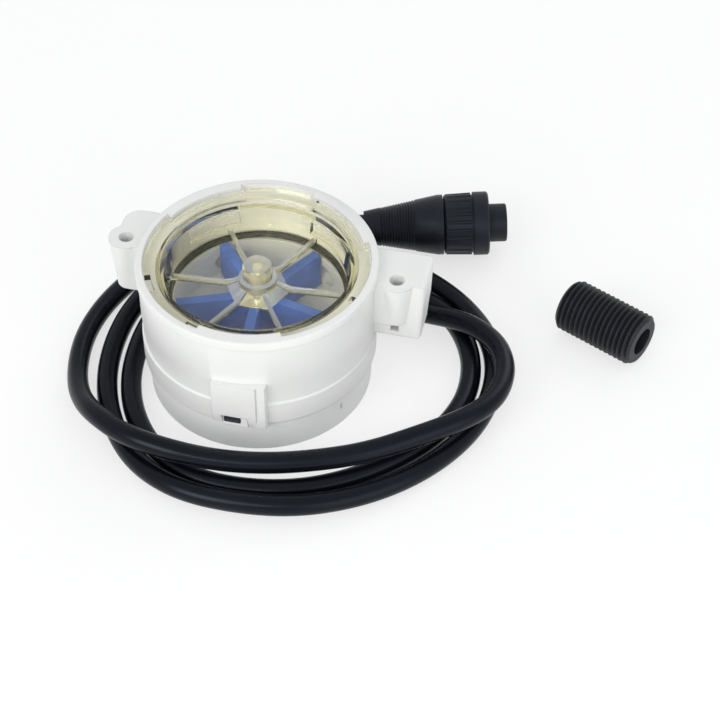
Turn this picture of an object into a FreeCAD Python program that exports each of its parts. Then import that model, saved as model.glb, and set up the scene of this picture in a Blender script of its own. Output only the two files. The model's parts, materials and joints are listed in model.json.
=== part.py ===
"""Rotary flow sensor: a moulded body with a bayonet window lens over a paddle rotor, a snap-on rear
cover with the sensing board, a cable with a threaded connector, and a loose pipe nipple.

Millimetres. The origin is the centre of the rear cover's bottom face, +Z runs up along the rotor's
axis and +X along the line of the two ports, with the latch tab on the -Y side.
"""
import FreeCAD, Part
import math
import os
import re
import Sketcher

Vector = FreeCAD.Vector

# The driving sizes: name, value, what it is
SIZES = [
    ("drum_r", 28.5, "outside radius of the body's drum"),
    ("skirt_r", 28.7, "outside radius of the skirt round the seam"),
    ("rim_r", 29.0, "outside radius of the rim round the lens"),
    ("band_depth", 0.2, "how far the band above the skirt is set back from the drum"),
    ("band_height", 6.0, "height of that band"),
    ("skirt_height", 6.3, "height of the skirt above the seam"),
    ("step_height", 0.4, "height of each small slope between two outside radii"),
    ("rim_height", 2.5, "height of the rim's straight band"),
    ("edge_round", 0.5, "rounding of the rim's outer edge"),
    ("chamber_r", 20.5, "radius of the flow chamber"),
    ("floor_thickness", 2.8, "thickness of the floor under the chamber"),
    ("recess_depth", 1.8, "depth of the recess under the floor, above the seam"),
    ("skirt_wall", 2.2, "wall of the skirt round the rear cover's spigot"),
    ("seal_width", 2.1, "width of the seat for the seal ring"),
    ("lens_seat", 1.6, "width of the ledge outside the seal's seat"),
    ("pin_hub_r", 2.2, "radius of the hub that holds the rotor pin"),
    ("pin_hub_height", 1.0, "height of that hub above the chamber's floor"),
    ("pin_seat", 1.2, "how deep the rotor pin stands in the floor"),
    ("tab_lip", 1.4, "how far the retaining tabs reach in over the lens"),
    ("tab_thickness", 0.8, "thickness of the retaining tabs"),
    ("tab_right_angle", 49.8, "direction of the first retaining tab"),
    ("tab_right_width", 47.6, "width of the first retaining tab in degrees"),
    ("tab_left_angle", 135.5, "direction of the second retaining tab"),
    ("tab_left_width", 44.3, "width of the second retaining tab in degrees"),
    ("tab_front_angle", 275.8, "direction of the third retaining tab"),
    ("tab_front_width", 42.5, "width of the third retaining tab in degrees"),
    ("hole_spacing", 67.0, "distance between the two mounting holes"),
    ("hole_y", 2.6, "how far the mounting holes lie behind the axis"),
    ("hole_r", 1.8, "radius of the mounting holes"),
    ("hole_boss_r", 4.3, "radius of the boss round each mounting hole"),
    ("boss_taper", 1.1, "how much slimmer each boss is at its foot"),
    ("ear_drop", 2.5, "how far the ears lie below the rim"),
    ("ear_height", 12.0, "height of the right hole boss"),
    ("left_ear_height", 14.3, "height of the left ear and its hole boss"),
    ("ear_front", 1.0, "where the front of both ears lies behind the axis"),
    ("ear_depth", 11.8, "depth of both ears"),
    ("web_front", 0.6, "how far the web beside each boss lies before the axis"),
    ("right_ear_reach", 40.5, "how far the right ear reaches from the axis at its top"),
    ("right_ear_taper", 0.6, "how much less it reaches at its bottom"),
    ("right_ear_height", 16.7, "height of the right ear's block"),
    ("left_ear_reach", 36.0, "how far the left ear reaches from the axis"),
    ("left_ear_round", 4.0, "rounding of the left ear's far corner"),
    ("ear_edge", 1.0, "rounding of the right ear's outer edges"),
    ("port_y", 16.6, "how far the line of the ports lies behind the axis"),
    ("port_z", 18.6, "height of the line of the ports"),
    ("port_boss_r", 7.3, "outside radius of the port bosses"),
    ("port_reach", 36.0, "how far each port's face lies from the axis"),
    ("port_r", 5.7, "radius of the tapped bore of each port"),
    ("port_depth", 14.0, "depth of that bore"),
    ("port_notch_r", 7.4, "radius of the room cut in the right ear for the pipe at the port"),
    ("orifice_r", 2.6, "radius of the opening from the port into the chamber"),
    ("latch_x", 1.6, "how far the latches lie to the right of the axis"),
    ("latch_width", 10.8, "width of the latch tab"),
    ("latch_height", 13.3, "height of the latch tab above the seam"),
    ("latch_proud", 1.0, "how far the latch tab stands out of the skirt"),
    ("latch_slope", 3.2, "height of the slope at the foot of the latch tab"),
    ("latch_step_width", 2.2, "width of the lower step beside the latch tab"),
    ("latch_step_proud", 0.5, "how far that step stands out of the skirt"),
    ("window_width", 6.4, "width of the latch's window in the skirt"),
    ("window_height", 2.9, "height of that window above the seam"),
    ("hook_proud", 0.1, "how far the cover's hook stands out of the skirt's radius"),
    ("hook_drop", 1.0, "how far the hook reaches down the cover from the seam"),
    ("plug_width", 3.9, "width of the black latch plug"),
    ("plug_height", 2.6, "height of the black latch plug"),
    ("plug_depth", 1.3, "depth of the black latch plug"),
    ("plug_proud", 0.2, "how far the plug stands out of the hook"),
    ("plug_shift", 0.75, "how far the plug lies to the left of the latch's middle"),
    ("cover_r", 27.5, "outside radius of the rear cover"),
    ("cover_height", 10.0, "height of the rear cover, up to the seam"),
    ("cover_floor", 1.6, "thickness of the rear cover's floor"),
    ("spigot_wall", 1.1, "wall of the cover's spigot and of the cavity's upper edge"),
    ("slot_angle", -30.0, "direction of the small slot in the cover's side"),
    ("slot_width", 1.3, "width of that slot in degrees"),
    ("slot_height", 2.0, "height of that slot"),
    ("slot_rise", 4.7, "height of the slot's lower end above the bottom"),
    ("slot_depth", 0.5, "depth of that slot"),
    ("fit", 0.15, "play between fixed pieces that fit into each other"),
    ("gap", 0.3, "running gap between a moving piece and what it runs past"),
    ("board_r", 20.5, "radius of the circuit board"),
    ("board_thickness", 1.6, "thickness of the circuit board"),
    ("post_height", 3.4, "height of the posts under the board"),
    ("post_r", 2.2, "radius of those posts"),
    ("post_circle", 17.0, "radius of the circle on which the posts stand"),
    ("stake_r", 1.0, "radius of the stakes that hold the board"),
    ("stake_rise", 0.8, "how far the stakes stand out of the board"),
    ("hall_circle", 14.0, "how far the field sensor and the rotor's magnets lie from the axis"),
    ("hall_width", 4.0, "width of the field sensor"),
    ("hall_thickness", 1.6, "thickness of the field sensor"),
    ("hall_height", 3.0, "height of the field sensor's body"),
    ("hall_lead", 3.2, "length of the field sensor's leads above the board"),
    ("hall_pocket_r", 3.2, "radius of the pocket in the floor over the field sensor"),
    ("hall_pocket_depth", 1.6, "depth of that pocket"),
    ("ring_r", 0.8, "half the thickness of the lens's seal ring"),
    ("lens_gap", 0.2, "gap between the lens and the ledges under it"),
    ("lens_side_gap", 0.3, "gap between the lens and the bore round it"),
    ("lens_depth", 8.9, "height of the lens below its flange"),
    ("plate_thickness", 1.7, "thickness of the window plate"),
    ("lens_flange", 1.6, "thickness of the lens's flange"),
    ("lens_neck", 1.6, "how far the flange stands out of the lens's wall all round"),
    ("lobe_reach", 3.0, "how far the flange's lobes stand out of the lens's wall"),
    ("cup_bottom_wall", 2.4, "wall of the lens at the window plate"),
    ("cup_middle_wall", 1.6, "wall of the lens halfway up"),
    ("cup_ledge", 0.9, "height of the straight wall above the window plate"),
    ("cup_lip", 2.2, "height of the wider lip at the top of the lens"),
    ("cup_lip_step", 0.9, "how much wider the lip is than the middle of the lens"),
    ("grip_depth", 0.7, "depth of the finger recesses in the lens's wall"),
    ("grip_rise", 1.6, "height of the finger recesses above the window plate"),
    ("grip_height", 3.4, "height of the finger recesses"),
    ("grip_width", 38.0, "width of the finger recesses in degrees"),
    ("hub_boss_r", 4.6, "radius of the lens's centre boss"),
    ("hub_boss_height", 3.8, "height of that boss above the window plate"),
    ("knob_r", 3.6, "radius of the knob on the centre boss"),
    ("knob_height", 4.0, "height of that knob"),
    ("knob_roof", 1.3, "thickness of the knob above the pin's hole"),
    ("rib_count", 6, "number of ribs on the window plate"),
    ("rib_angle", 4.0, "direction of the first rib"),
    ("rib_thickness", 1.0, "thickness of the ribs"),
    ("rib_height", 1.3, "height of the ribs above the window plate"),
    ("gusset_height", 2.6, "height of the ribs where they meet the centre boss"),
    ("funnel_r", 8.4, "corner radius of the six-sided foot of the centre boss"),
    ("funnel_height", 2.2, "height of that foot"),
    ("pin_r", 1.1, "radius of the rotor pin"),
    ("pin_edge", 0.2, "bevel of the pin's ends"),
    ("pin_play", 0.05, "play of the pin in its seats"),
    ("bearing_play", 0.08, "play of the rotor on the pin"),
    ("pin_top_gap", 0.3, "gap between the pin and the top of its hole in the lens"),
    ("blade_count", 5, "number of blades of the rotor"),
    ("blade_angle", 58.5, "direction of the first blade"),
    ("blade_thickness", 2.4, "thickness of the blades"),
    ("blade_height", 9.7, "height of the blades"),
    ("blade_floor_gap", 0.5, "gap between the blades and the chamber's floor"),
    ("blade_tip_gap", 0.6, "gap between the blades' tips and the chamber's wall"),
    ("rotor_hub_r", 3.2, "radius of the rotor's hub"),
    ("magnet_r", 0.75, "radius of the magnets"),
    ("magnet_length", 4.0, "length of the magnets"),
    ("cable_r", 2.6, "radius of the cable"),
    ("outlet_y", 25.3, "how far the cable's outlet lies behind the axis"),
    ("outlet_z", 4.4, "height of the cable's outlet"),
    ("outlet_r", 3.9, "radius of the outlet's boss on the cover"),
    ("outlet_start", 4.0, "where the outlet's boss starts, along X"),
    ("outlet_room", 5.0, "length of the outlet's bore behind the strain relief"),
    ("outlet_end", 17.0, "where the outlet's boss ends, along X"),
    ("relief_plug", 7.0, "length of the strain relief inside the outlet"),
    ("relief_plug_r", 2.6, "radius of the strain relief inside the outlet"),
    ("relief_collar", 2.5, "length of the strain relief's collar"),
    ("relief_collar_r", 3.7, "radius of the strain relief's collar"),
    ("relief_root_r", 3.6, "radius of the strain relief next to its collar"),
    ("relief_tip_r", 2.9, "radius of the strain relief at its tip"),
    ("relief_ring_r", 0.55, "radius of the round bending grooves in the strain relief"),
    ("relief_ring_count", 4, "number of those grooves"),
    ("wire_r", 0.5, "radius of the lead wires"),
    ("wire_spacing", 1.3, "distance between the lead wires"),
    ("bushing_length", 4.0, "length of the bushing behind the backshell"),
    ("bushing_r", 3.4, "radius of that bushing"),
    ("bushing_neck_r", 3.0, "radius of the bushing inside the backshell"),
    ("bushing_neck", 6.0, "length of the bushing inside the backshell"),
    ("backshell_tail_r", 4.3, "radius of the backshell at its tail"),
    ("backshell_r", 7.95, "radius of the backshell at its front"),
    ("backshell_cone", 19.6, "length of the backshell's cone"),
    ("backshell_band", 1.4, "length of the backshell's plain front band"),
    ("backshell_ring_depth", 0.2, "depth of the fine rings round the cone"),
    ("backshell_ring_start", 4.4, "where the fine rings start on the backshell"),
    ("backshell_ring_length", 9.4, "length of the ringed part of the cone"),
    ("backshell_ring_count", 13, "number of the fine rings"),
    ("nut_r", 8.4, "outside radius of the coupling nut at its ring"),
    ("nut_foot_r", 8.0, "outside radius of the coupling nut at its foot"),
    ("nut_length", 11.7, "length of the coupling nut"),
    ("nut_lip", 1.4, "thickness of the nut's inward lip"),
    ("nut_bore_r", 6.5, "radius of the nut's bore"),
    ("nut_groove_start", 7.1, "where the groove round the nut starts"),
    ("nut_groove_width", 0.6, "width of that groove"),
    ("nut_groove_depth", 0.7, "depth of that groove"),
    ("flute_count", 24, "number of grip flutes round the nut"),
    ("flute_r", 0.55, "radius of the flutes"),
    ("shell_flange", 1.5, "thickness of the shell's flange inside the nut"),
    ("shell_r", 5.05, "outside radius of the connector's nose"),
    ("shell_wall", 0.95, "wall of the nose"),
    ("nose_step", 0.25, "how much slimmer the shell is inside the nut than at its nose"),
    ("nose_reach", 4.8, "how far the nose stands out of the nut"),
    ("nose_depth", 7.8, "depth of the nose's socket down to the insert's foot"),
    ("insert_height", 2.5, "thickness of the contact insert"),
    ("contact_r", 0.5, "radius of the contacts"),
    ("contact_circle", 2.3, "radius of the circle of contacts"),
    ("contact_length", 4.1, "length of the contacts above the insert"),
    ("gasket_thickness", 1.2, "thickness of the connector's gasket"),
    ("nipple_r", 6.85, "outside radius of the pipe nipple"),
    ("nipple_bore_r", 3.6, "radius of the nipple's bore"),
    ("nipple_length", 22.2, "length of the nipple"),
    ("nipple_bevel", 1.0, "bevel of the nipple's ends"),
    ("nipple_x", 72.24, "place of the nipple's near end on the floor, along X"),
    ("nipple_y", 33.32, "place of the nipple's near end on the floor, along Y"),
    ("nipple_yaw", -25.7, "direction of the nipple on the floor, from +X"),
]

# The cable's route from the strain relief to the connector, laid by hand in three loose turns
ROUTE = [
    (33.0, 23.9, 4.9), (38.075, 22.834, 5.281), (43.5, 20.6, 7.4), (50.4, 17.9, 8.7),
    (57.6, 12.6, 8.9), (61.2, 3.6, 9.3), (60.3, -6.4, 9.5), (54.8, -14.6, 9.9), (45.0, -22.4, 9.8),
    (34.0, -29.8, 9.0), (22.4, -34.4, 8.2), (10.5, -37.8, 7.8), (-1.5, -39.8, 8.4),
    (-12.6, -40.2, 9.8), (-23.0, -38.2, 10.0), (-32.0, -32.8, 8.8), (-39.2, -24.6, 5.0),
    (-43.8, -14.2, 2.7), (-45.8, -2.8, 2.7), (-44.8, 8.4, 2.7), (-41.2, 19.4, 2.7),
    (-35.4, 30.0, 2.7), (-26.0, 39.2, 2.7), (-12.8, 42.4, 2.7), (1.2, 42.2, 2.7), (15.0, 42.0, 2.7),
    (28.0, 41.0, 2.7), (38.4, 36.0, 2.7), (46.6, 29.8, 2.7), (53.4, 21.8, 2.7), (57.6, 11.6, 2.7),
    (58.4, 0.2, 2.7), (56.0, -11.2, 2.7), (50.4, -22.0, 2.7), (42.4, -31.8, 3.0),
    (32.2, -40.0, 3.6), (19.6, -45.8, 4.0), (5.8, -47.8, 4.2), (-8.0, -46.8, 4.0),
    (-20.2, -40.6, 3.4), (-29.4, -29.8, 2.7), (-35.2, -17.4, 2.7), (-37.8, -4.4, 2.7),
    (-37.6, 8.6, 2.7), (-34.2, 20.6, 2.7), (-26.4, 30.2, 2.7), (-15.2, 35.4, 2.7),
    (-2.0, 36.4, 2.7), (11.4, 35.8, 2.7), (24.2, 34.8, 2.7), (34.2, 30.8, 2.7), (42.8, 26.4, 2.7),
    (48.9, 18.0, 2.7), (52.3, 7.8, 2.7), (52.2, -3.8, 2.7), (47.6, -15.6, 2.7), (39.8, -25.6, 2.7),
    (30.4, -33.8, 2.7), (19.4, -39.6, 2.7), (7.2, -42.2, 2.7), (-5.0, -41.8, 2.7),
    (-16.0, -36.4, 2.7), (-24.8, -26.4, 2.7), (-29.8, -14.8, 2.7), (-31.6, -2.4, 2.7),
    (-31.0, 9.6, 2.7), (-27.6, 19.8, 3.4), (-21.6, 28.8, 8.8), (-16.6, 38.0, 9.6),
    (-8.0, 43.2, 8.6), (1.53, 45.86, 6.79), (11.23, 48.26, 7.17),
]

# The leads' path past the outlet: how far back, how far apart, how far outside the board's edge and
# how far above its top
LEAD_PATH = [(5.2, 1.0, 2.0, 0.0), (7.0, 1.4, -1.0, 1.9), (7.8, 1.7, -4.6, 2.2), (7.8, 1.7, -4.6, 0.0)]

# Heights and radii that follow from the driving sizes
SEAM = "cover_height"
ROOF = f"({SEAM} + recess_depth)"
FLOOR = f"({ROOF} + floor_thickness)"
PIN_FOOT = f"({FLOOR} - pin_seat)"
PIN_HUB_TOP = f"({FLOOR} + pin_hub_height)"
ROTOR_FOOT = f"({PIN_HUB_TOP} + gap)"
BLADE_FOOT = f"({FLOOR} + blade_floor_gap)"
BLADE_TOP = f"({BLADE_FOOT} + blade_height)"
WINDOW = f"({BLADE_TOP} + 2 * gap)"
SEAL_SEAT = f"({WINDOW} - lens_gap - 2 * ring_r)"
PLATE_TOP = f"({WINDOW} + plate_thickness)"
FLANGE = f"({WINDOW} + lens_depth)"
FLANGE_TOP = f"({FLANGE} + lens_flange)"
TAB_FOOT = f"({FLANGE_TOP} + gap)"
TOP = f"({TAB_FOOT} + tab_thickness)"
SEAL_R = "(chamber_r + seal_width)"
LENS_BORE_R = f"({SEAL_R} + lens_seat)"
LENS_R = f"({LENS_BORE_R} - lens_side_gap)"
LENS_NECK_R = f"({LENS_R} + lens_neck)"
LOBE_R = f"({LENS_R} + lobe_reach)"
FLANGE_BORE_R = f"({LOBE_R} + gap)"
RECESS_R = "(skirt_r - skirt_wall)"
SPIGOT_R = f"({RECESS_R} - fit)"
CAVITY_R = f"({SPIGOT_R} - spigot_wall)"
EAR_TOP = f"({TOP} - ear_drop)"
EAR_FOOT = f"({EAR_TOP} - ear_height)"
LEFT_EAR_FOOT = f"({EAR_TOP} - left_ear_height)"
BOARD_FOOT = "(cover_floor + post_height)"
BOARD_TOP = f"({BOARD_FOOT} + board_thickness)"
KNOB_TOP = f"({PLATE_TOP} + hub_boss_height + knob_height)"
PIN_HOLE_TOP = f"({KNOB_TOP} - knob_roof)"
TABS = [
    ("tab_right_angle", "tab_right_width"),
    ("tab_left_angle", "tab_left_width"),
    ("tab_front_angle", "tab_front_width"),
]
# The flange's lobes fill the openings between the tabs: where each starts and ends, in degrees
LOBES = [(70.5, 112.0), (158.5, 204.0), (216.0, 246.5), (293.5, 341.0), (345.0, 384.0)]

doc = FreeCAD.newDocument("RotaryFlowSensor")
sheet = doc.addObject("Spreadsheet::Sheet", "Sizes")
ALIASES = set()
for line, (alias, amount, note) in enumerate(SIZES, 1):
    sheet.set(f"A{line}", str(amount))
    sheet.setAlias(f"A{line}", alias)
    sheet.set(f"B{line}", note)
    ALIASES.add(alias)
doc.recompute()

pieces = []


def sized(text):
    """An expression in plain size names, written the way that the document's objects read it."""
    return re.sub(r"[a-z][a-z_]*", lambda word: "Sizes." + word.group() if word.group() in ALIASES
                  else word.group(), str(text))


def amount_of(text):
    """The number that an expression in size names stands for."""
    return float(sheet.evalExpression(sized(text)))


def new_body(label):
    body = doc.addObject("PartDesign::Body", label)
    body.Label = label
    pieces.append(body)
    return body


def keep(feature, label):
    """Name a finished feature as one of the object's pieces."""
    feature.Label = label
    pieces.append(feature)
    return feature


def volume_of(body):
    return body.Shape.Volume if body.Tip and not body.Shape.isNull() else 0.0


def origin_feature(body, role):
    return [feature for feature in body.Origin.OriginFeatures if feature.Role == role][0]


def place(sketch, index, point, across, up):
    """Bind one point of a sketch to two expressions."""
    for kind, text in (("DistanceX", across), ("DistanceY", up)):
        number = sketch.addConstraint(
            Sketcher.Constraint(kind, -1, 1, index, point, amount_of(text)))
        sketch.setExpression(f"Constraints[{number}]", sized(text))


def new_sketch(body, role, outlines=(), circles=(), lift="0", turn="0"):
    """A sketch on one of the body's origin planes, lifted along its normal and turned about Z."""
    sketch = body.newObject("Sketcher::SketchObject", "Sketch")
    sketch.AttachmentSupport = [(origin_feature(body, role), "")]
    sketch.MapMode = "FlatFace"
    upright = Vector(0, 0, 1) if role == "XY_Plane" else Vector(0, 1, 0)
    turned = FreeCAD.Rotation(upright, amount_of(turn))
    shift = turned.multVec(Vector(0, 0, amount_of(lift)))
    sketch.AttachmentOffset = FreeCAD.Placement(shift, turned)
    for outline in outlines:
        first = sketch.GeometryCount
        corners = [Vector(amount_of(across), amount_of(up), 0) for across, up in outline]
        count = len(corners)
        for index in range(count):
            following = corners[(index + 1) % count]
            sketch.addGeometry(Part.LineSegment(corners[index], following))
        for index in range(count):
            joined = first + (index + 1) % count
            sketch.addConstraint(Sketcher.Constraint("Coincident", first + index, 2, joined, 1))
        for index, (across, up) in enumerate(outline):
            place(sketch, first + index, 1, across, up)
    for across, up, radius in circles:
        centre = Vector(amount_of(across), amount_of(up), 0)
        index = sketch.addGeometry(Part.Circle(centre, Vector(0, 0, 1), amount_of(radius)))
        place(sketch, index, 3, across, up)
        number = sketch.addConstraint(Sketcher.Constraint("Radius", index, amount_of(radius)))
        sketch.setExpression(f"Constraints[{number}]", sized(radius))
    return sketch


def finish(body, feature, before, cut):
    """Recompute, and stop if the feature did not add or remove material as it should."""
    doc.recompute()
    change = volume_of(body) - before
    if (change >= 0) if cut else (change <= 0):
        raise RuntimeError(f"{feature.Name} of {body.Label} changed nothing")
    return feature


def revolve(body, outlines, cut=False, angle=None, turn="0"):
    """Turn outlines of radius and height about the Z axis, all round or centred on a direction."""
    before = volume_of(body)
    profile = new_sketch(body, "XZ_Plane", outlines, turn=turn)
    feature = body.newObject("PartDesign::Groove" if cut else "PartDesign::Revolution", "Turned")
    feature.Profile = profile
    feature.ReferenceAxis = (profile, ["V_Axis"])
    if angle is None:
        feature.Angle = 360
    else:
        feature.Midplane = True
        feature.setExpression("Angle", sized(angle))
    return finish(body, feature, before, cut)


def extrude(body, role, length, cut=False, **sketched):
    """Push outlines or circles along the normal of their plane, from the sketch's lift."""
    before = volume_of(body)
    feature = body.newObject("PartDesign::Pocket" if cut else "PartDesign::Pad", "Pushed")
    feature.Profile = new_sketch(body, role, **sketched)
    feature.Reversed = cut
    feature.setExpression("Length", sized(length))
    return finish(body, feature, before, cut)


def repeat_round(body, feature, count):
    """Repeat a feature evenly about the Z axis."""
    pattern = body.newObject("PartDesign::PolarPattern", "Around")
    pattern.Originals = [feature]
    pattern.Axis = (origin_feature(body, "Z_Axis"), [""])
    pattern.Angle = 360
    pattern.setExpression("Occurrences", sized(count))
    body.Tip = pattern
    doc.recompute()
    return pattern


def soften(body, chosen, radius):
    """Round the edges that a test picks."""
    base = body.Tip
    names = [f"Edge{number}" for number, edge in enumerate(base.Shape.Edges, 1) if chosen(edge)]
    fillet = body.newObject("PartDesign::Fillet", "Rounded")
    fillet.Base = (base, names)
    fillet.setExpression("Radius", sized(radius))
    doc.recompute()
    return fillet


def box(corner, sides):
    """A box from its lowest corner and its three sides, all given as expressions."""
    shape = doc.addObject("Part::Box", "Block")
    for name, text in zip(("Length", "Width", "Height"), sides):
        shape.setExpression(name, sized(text))
    for name, text in zip("xyz", corner):
        shape.setExpression(f"Placement.Base.{name}", sized(text))
    return shape


def cylinder(foot, radius, height):
    """An upright cylinder from the centre of its foot."""
    shape = doc.addObject("Part::Cylinder", "Round")
    shape.setExpression("Radius", sized(radius))
    shape.setExpression("Height", sized(height))
    for name, text in zip("xyz", foot):
        shape.setExpression(f"Placement.Base.{name}", sized(text))
    return shape


def together(shapes, label, kind="Part::Compound"):
    """Join shapes into one piece, as separate solids or fused."""
    joined = doc.addObject(kind, "Joined")
    if kind == "Part::Compound":
        joined.Links = shapes
    else:
        joined.Shapes = shapes
    return keep(joined, label)


def rectangle(left, right, bottom, top):
    return [(left, bottom), (right, bottom), (right, top), (left, top)]


def tube(points, radius):
    """A round tube along straight runs joined by tangent arcs, each as large as its runs allow.

    Returns the solid, the length of its path and the arcs' radii.
    """
    corners = [Vector(*point) for point in points]
    edges = []
    radii = []
    start = corners[0]
    for before, corner, after in zip(corners, corners[1:], corners[2:]):
        back = before - corner
        ahead = after - corner
        reach = 0.45 * min(back.Length, ahead.Length)
        turn = math.pi - back.getAngle(ahead)
        radii.append(reach / math.tan(turn / 2))
        back.normalize()
        ahead.normalize()
        arc_start = corner + back * reach
        arc_end = corner + ahead * reach
        inward = back + ahead
        inward.normalize()
        depth = radii[-1] * (1 / math.cos(turn / 2) - 1)
        edges.append(Part.LineSegment(start, arc_start).toShape())
        edges.append(Part.Arc(arc_start, corner + inward * depth, arc_end).toShape())
        start = arc_end
    edges.append(Part.LineSegment(start, corners[-1]).toShape())
    path = Part.Wire(edges)
    along = corners[1] - corners[0]
    section = Part.Wire(Part.makeCircle(radius, corners[0], along))
    return path.makePipeShell([section], True, True), path.Length, radii


def make_housing():
    """The white body: drum, ears, ports, chamber, seats for the lens and the latch tabs."""
    body = new_body("body_housing")
    revolve(body, [[
        ("0", SEAM),
        ("skirt_r", SEAM),
        ("skirt_r", f"{SEAM} + skirt_height"),
        ("drum_r - band_depth", f"{SEAM} + skirt_height + step_height"),
        ("drum_r - band_depth", f"{SEAM} + skirt_height + band_height"),
        ("drum_r", f"{SEAM} + skirt_height + band_height + step_height"),
        ("drum_r", f"{TOP} - rim_height - step_height"),
        ("rim_r", f"{TOP} - rim_height"),
        ("rim_r", TOP),
        ("0", TOP),
    ]])
    rim_edge = amount_of(TOP)
    soften(body, lambda edge: edge.BoundBox.ZMin > rim_edge - 0.01 and
           edge.BoundBox.ZMax < rim_edge + 0.01 and edge.BoundBox.XMax > 1, "edge_round")
    root = "drum_r - 5"
    extrude(body, "XZ_Plane", "ear_depth", lift="-(ear_front + ear_depth)", outlines=[[
        (root, f"{EAR_TOP} - right_ear_height"),
        ("right_ear_reach - right_ear_taper", f"{EAR_TOP} - right_ear_height"),
        ("right_ear_reach", EAR_TOP),
        (root, EAR_TOP),
    ]])
    outer = amount_of("right_ear_reach - right_ear_taper") - 0.01
    soften(body, lambda edge: edge.BoundBox.XMin > outer, "ear_edge")
    extrude(body, "XY_Plane", "left_ear_height", lift=LEFT_EAR_FOOT, outlines=[
        rectangle("-left_ear_reach", f"-({root})", "ear_front", "ear_front + ear_depth")])
    far = amount_of("ear_front + ear_depth") - 0.01
    reach = amount_of("left_ear_reach")
    soften(body, lambda edge: edge.BoundBox.YMin > far and
           edge.BoundBox.XMax < 0.01 - reach,
           "min(left_ear_round; left_ear_reach - drum_r + 1)")
    for side, height, foot in (("-1", "left_ear_height", LEFT_EAR_FOOT),
                               ("1", "ear_height", EAR_FOOT)):
        middle = f"{side} * hole_spacing / 2"
        inner = f"{side} * ({root} + 2)"
        boss = extrude(body, "XY_Plane", height, lift=foot,
                       circles=[(middle, "hole_y", "hole_boss_r - boss_taper")])
        boss.setExpression("TaperAngle", sized(f"atan(boss_taper / {height})"))
        doc.recompute()
        extrude(body, "XY_Plane", height, lift=foot, outlines=[
            rectangle(inner, middle, "-web_front", "hole_y")])
    extrude(body, "YZ_Plane", "2 * port_reach", lift="-port_reach",
            circles=[("port_y", "port_z", "port_boss_r")])
    for side in ("-1", "1"):
        inside = f"{side} * (drum_r - 2)"
        outside = f"{side} * (skirt_r + latch_proud)"
        extrude(body, "YZ_Plane", "latch_width", lift="latch_x - latch_width / 2", outlines=[[
            (inside, SEAM),
            (f"{side} * (skirt_r + 0.1)", SEAM),
            (outside, f"{SEAM} + latch_slope"),
            (outside, f"{SEAM} + latch_height"),
            (inside, f"{SEAM} + latch_height"),
        ]])
    step = "(latch_x + latch_width / 2)"
    extrude(body, "XY_Plane", "latch_height", lift=SEAM, outlines=[
        rectangle(f"{step} - 1", f"{step} + latch_step_width",
                  "-(drum_r - 2.5)", "-(skirt_r + latch_step_proud)")])
    revolve(body, [[
        ("0", PIN_FOOT),
        ("pin_r + pin_play", PIN_FOOT),
        ("pin_r + pin_play", PIN_HUB_TOP),
        ("pin_hub_r", PIN_HUB_TOP),
        ("pin_hub_r", FLOOR),
        ("chamber_r", FLOOR),
        ("chamber_r", SEAL_SEAT),
        (SEAL_R, SEAL_SEAT),
        (SEAL_R, f"{WINDOW} - lens_gap"),
        (LENS_BORE_R, f"{WINDOW} - lens_gap"),
        (LENS_BORE_R, f"{FLANGE} - lens_gap"),
        (FLANGE_BORE_R, f"{FLANGE} - lens_gap"),
        (FLANGE_BORE_R, f"{TOP} + 1"),
        ("0", f"{TOP} + 1"),
    ]], cut=True)
    for direction, width in TABS:
        revolve(body, [rectangle(f"{FLANGE_BORE_R} - tab_lip", f"{FLANGE_BORE_R} + 0.3",
                                 TAB_FOOT, TOP)], angle=width, turn=direction)
    revolve(body, [rectangle("0", RECESS_R, f"{SEAM} - 1", ROOF)], cut=True)
    extrude(body, "XY_Plane", "hall_pocket_depth", lift=ROOF, cut=True,
            circles=[("0", "-hall_circle", "hall_pocket_r")])
    for side in ("-1", "1"):
        extrude(body, "XY_Plane", "window_height + 1", lift=f"{SEAM} - 1", cut=True, outlines=[
            rectangle("latch_x - window_width / 2", "latch_x + window_width / 2",
                      f"{side} * ({RECESS_R} - 2)", f"{side} * (skirt_r + latch_proud + 1)")])
        extrude(body, "XY_Plane", "left_ear_height + 2", lift=f"{LEFT_EAR_FOOT} - 1", cut=True,
                circles=[(f"{side} * hole_spacing / 2", "hole_y", "hole_r")])
        mouth = "port_reach - port_depth" if side == "1" else "-(port_reach + 1)"
        extrude(body, "YZ_Plane", "port_depth + 1", lift=mouth, cut=True,
                circles=[("port_y", "port_z", "port_r")])
    extrude(body, "YZ_Plane", "right_ear_reach - port_reach + 1", lift="port_reach", cut=True,
            circles=[("port_y", "port_z", "port_notch_r")])
    inner = "(port_reach - port_depth)"
    extrude(body, "YZ_Plane", f"2 * {inner}", lift=f"-{inner}", cut=True,
            circles=[("port_y", "port_z", "orifice_r")])


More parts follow.
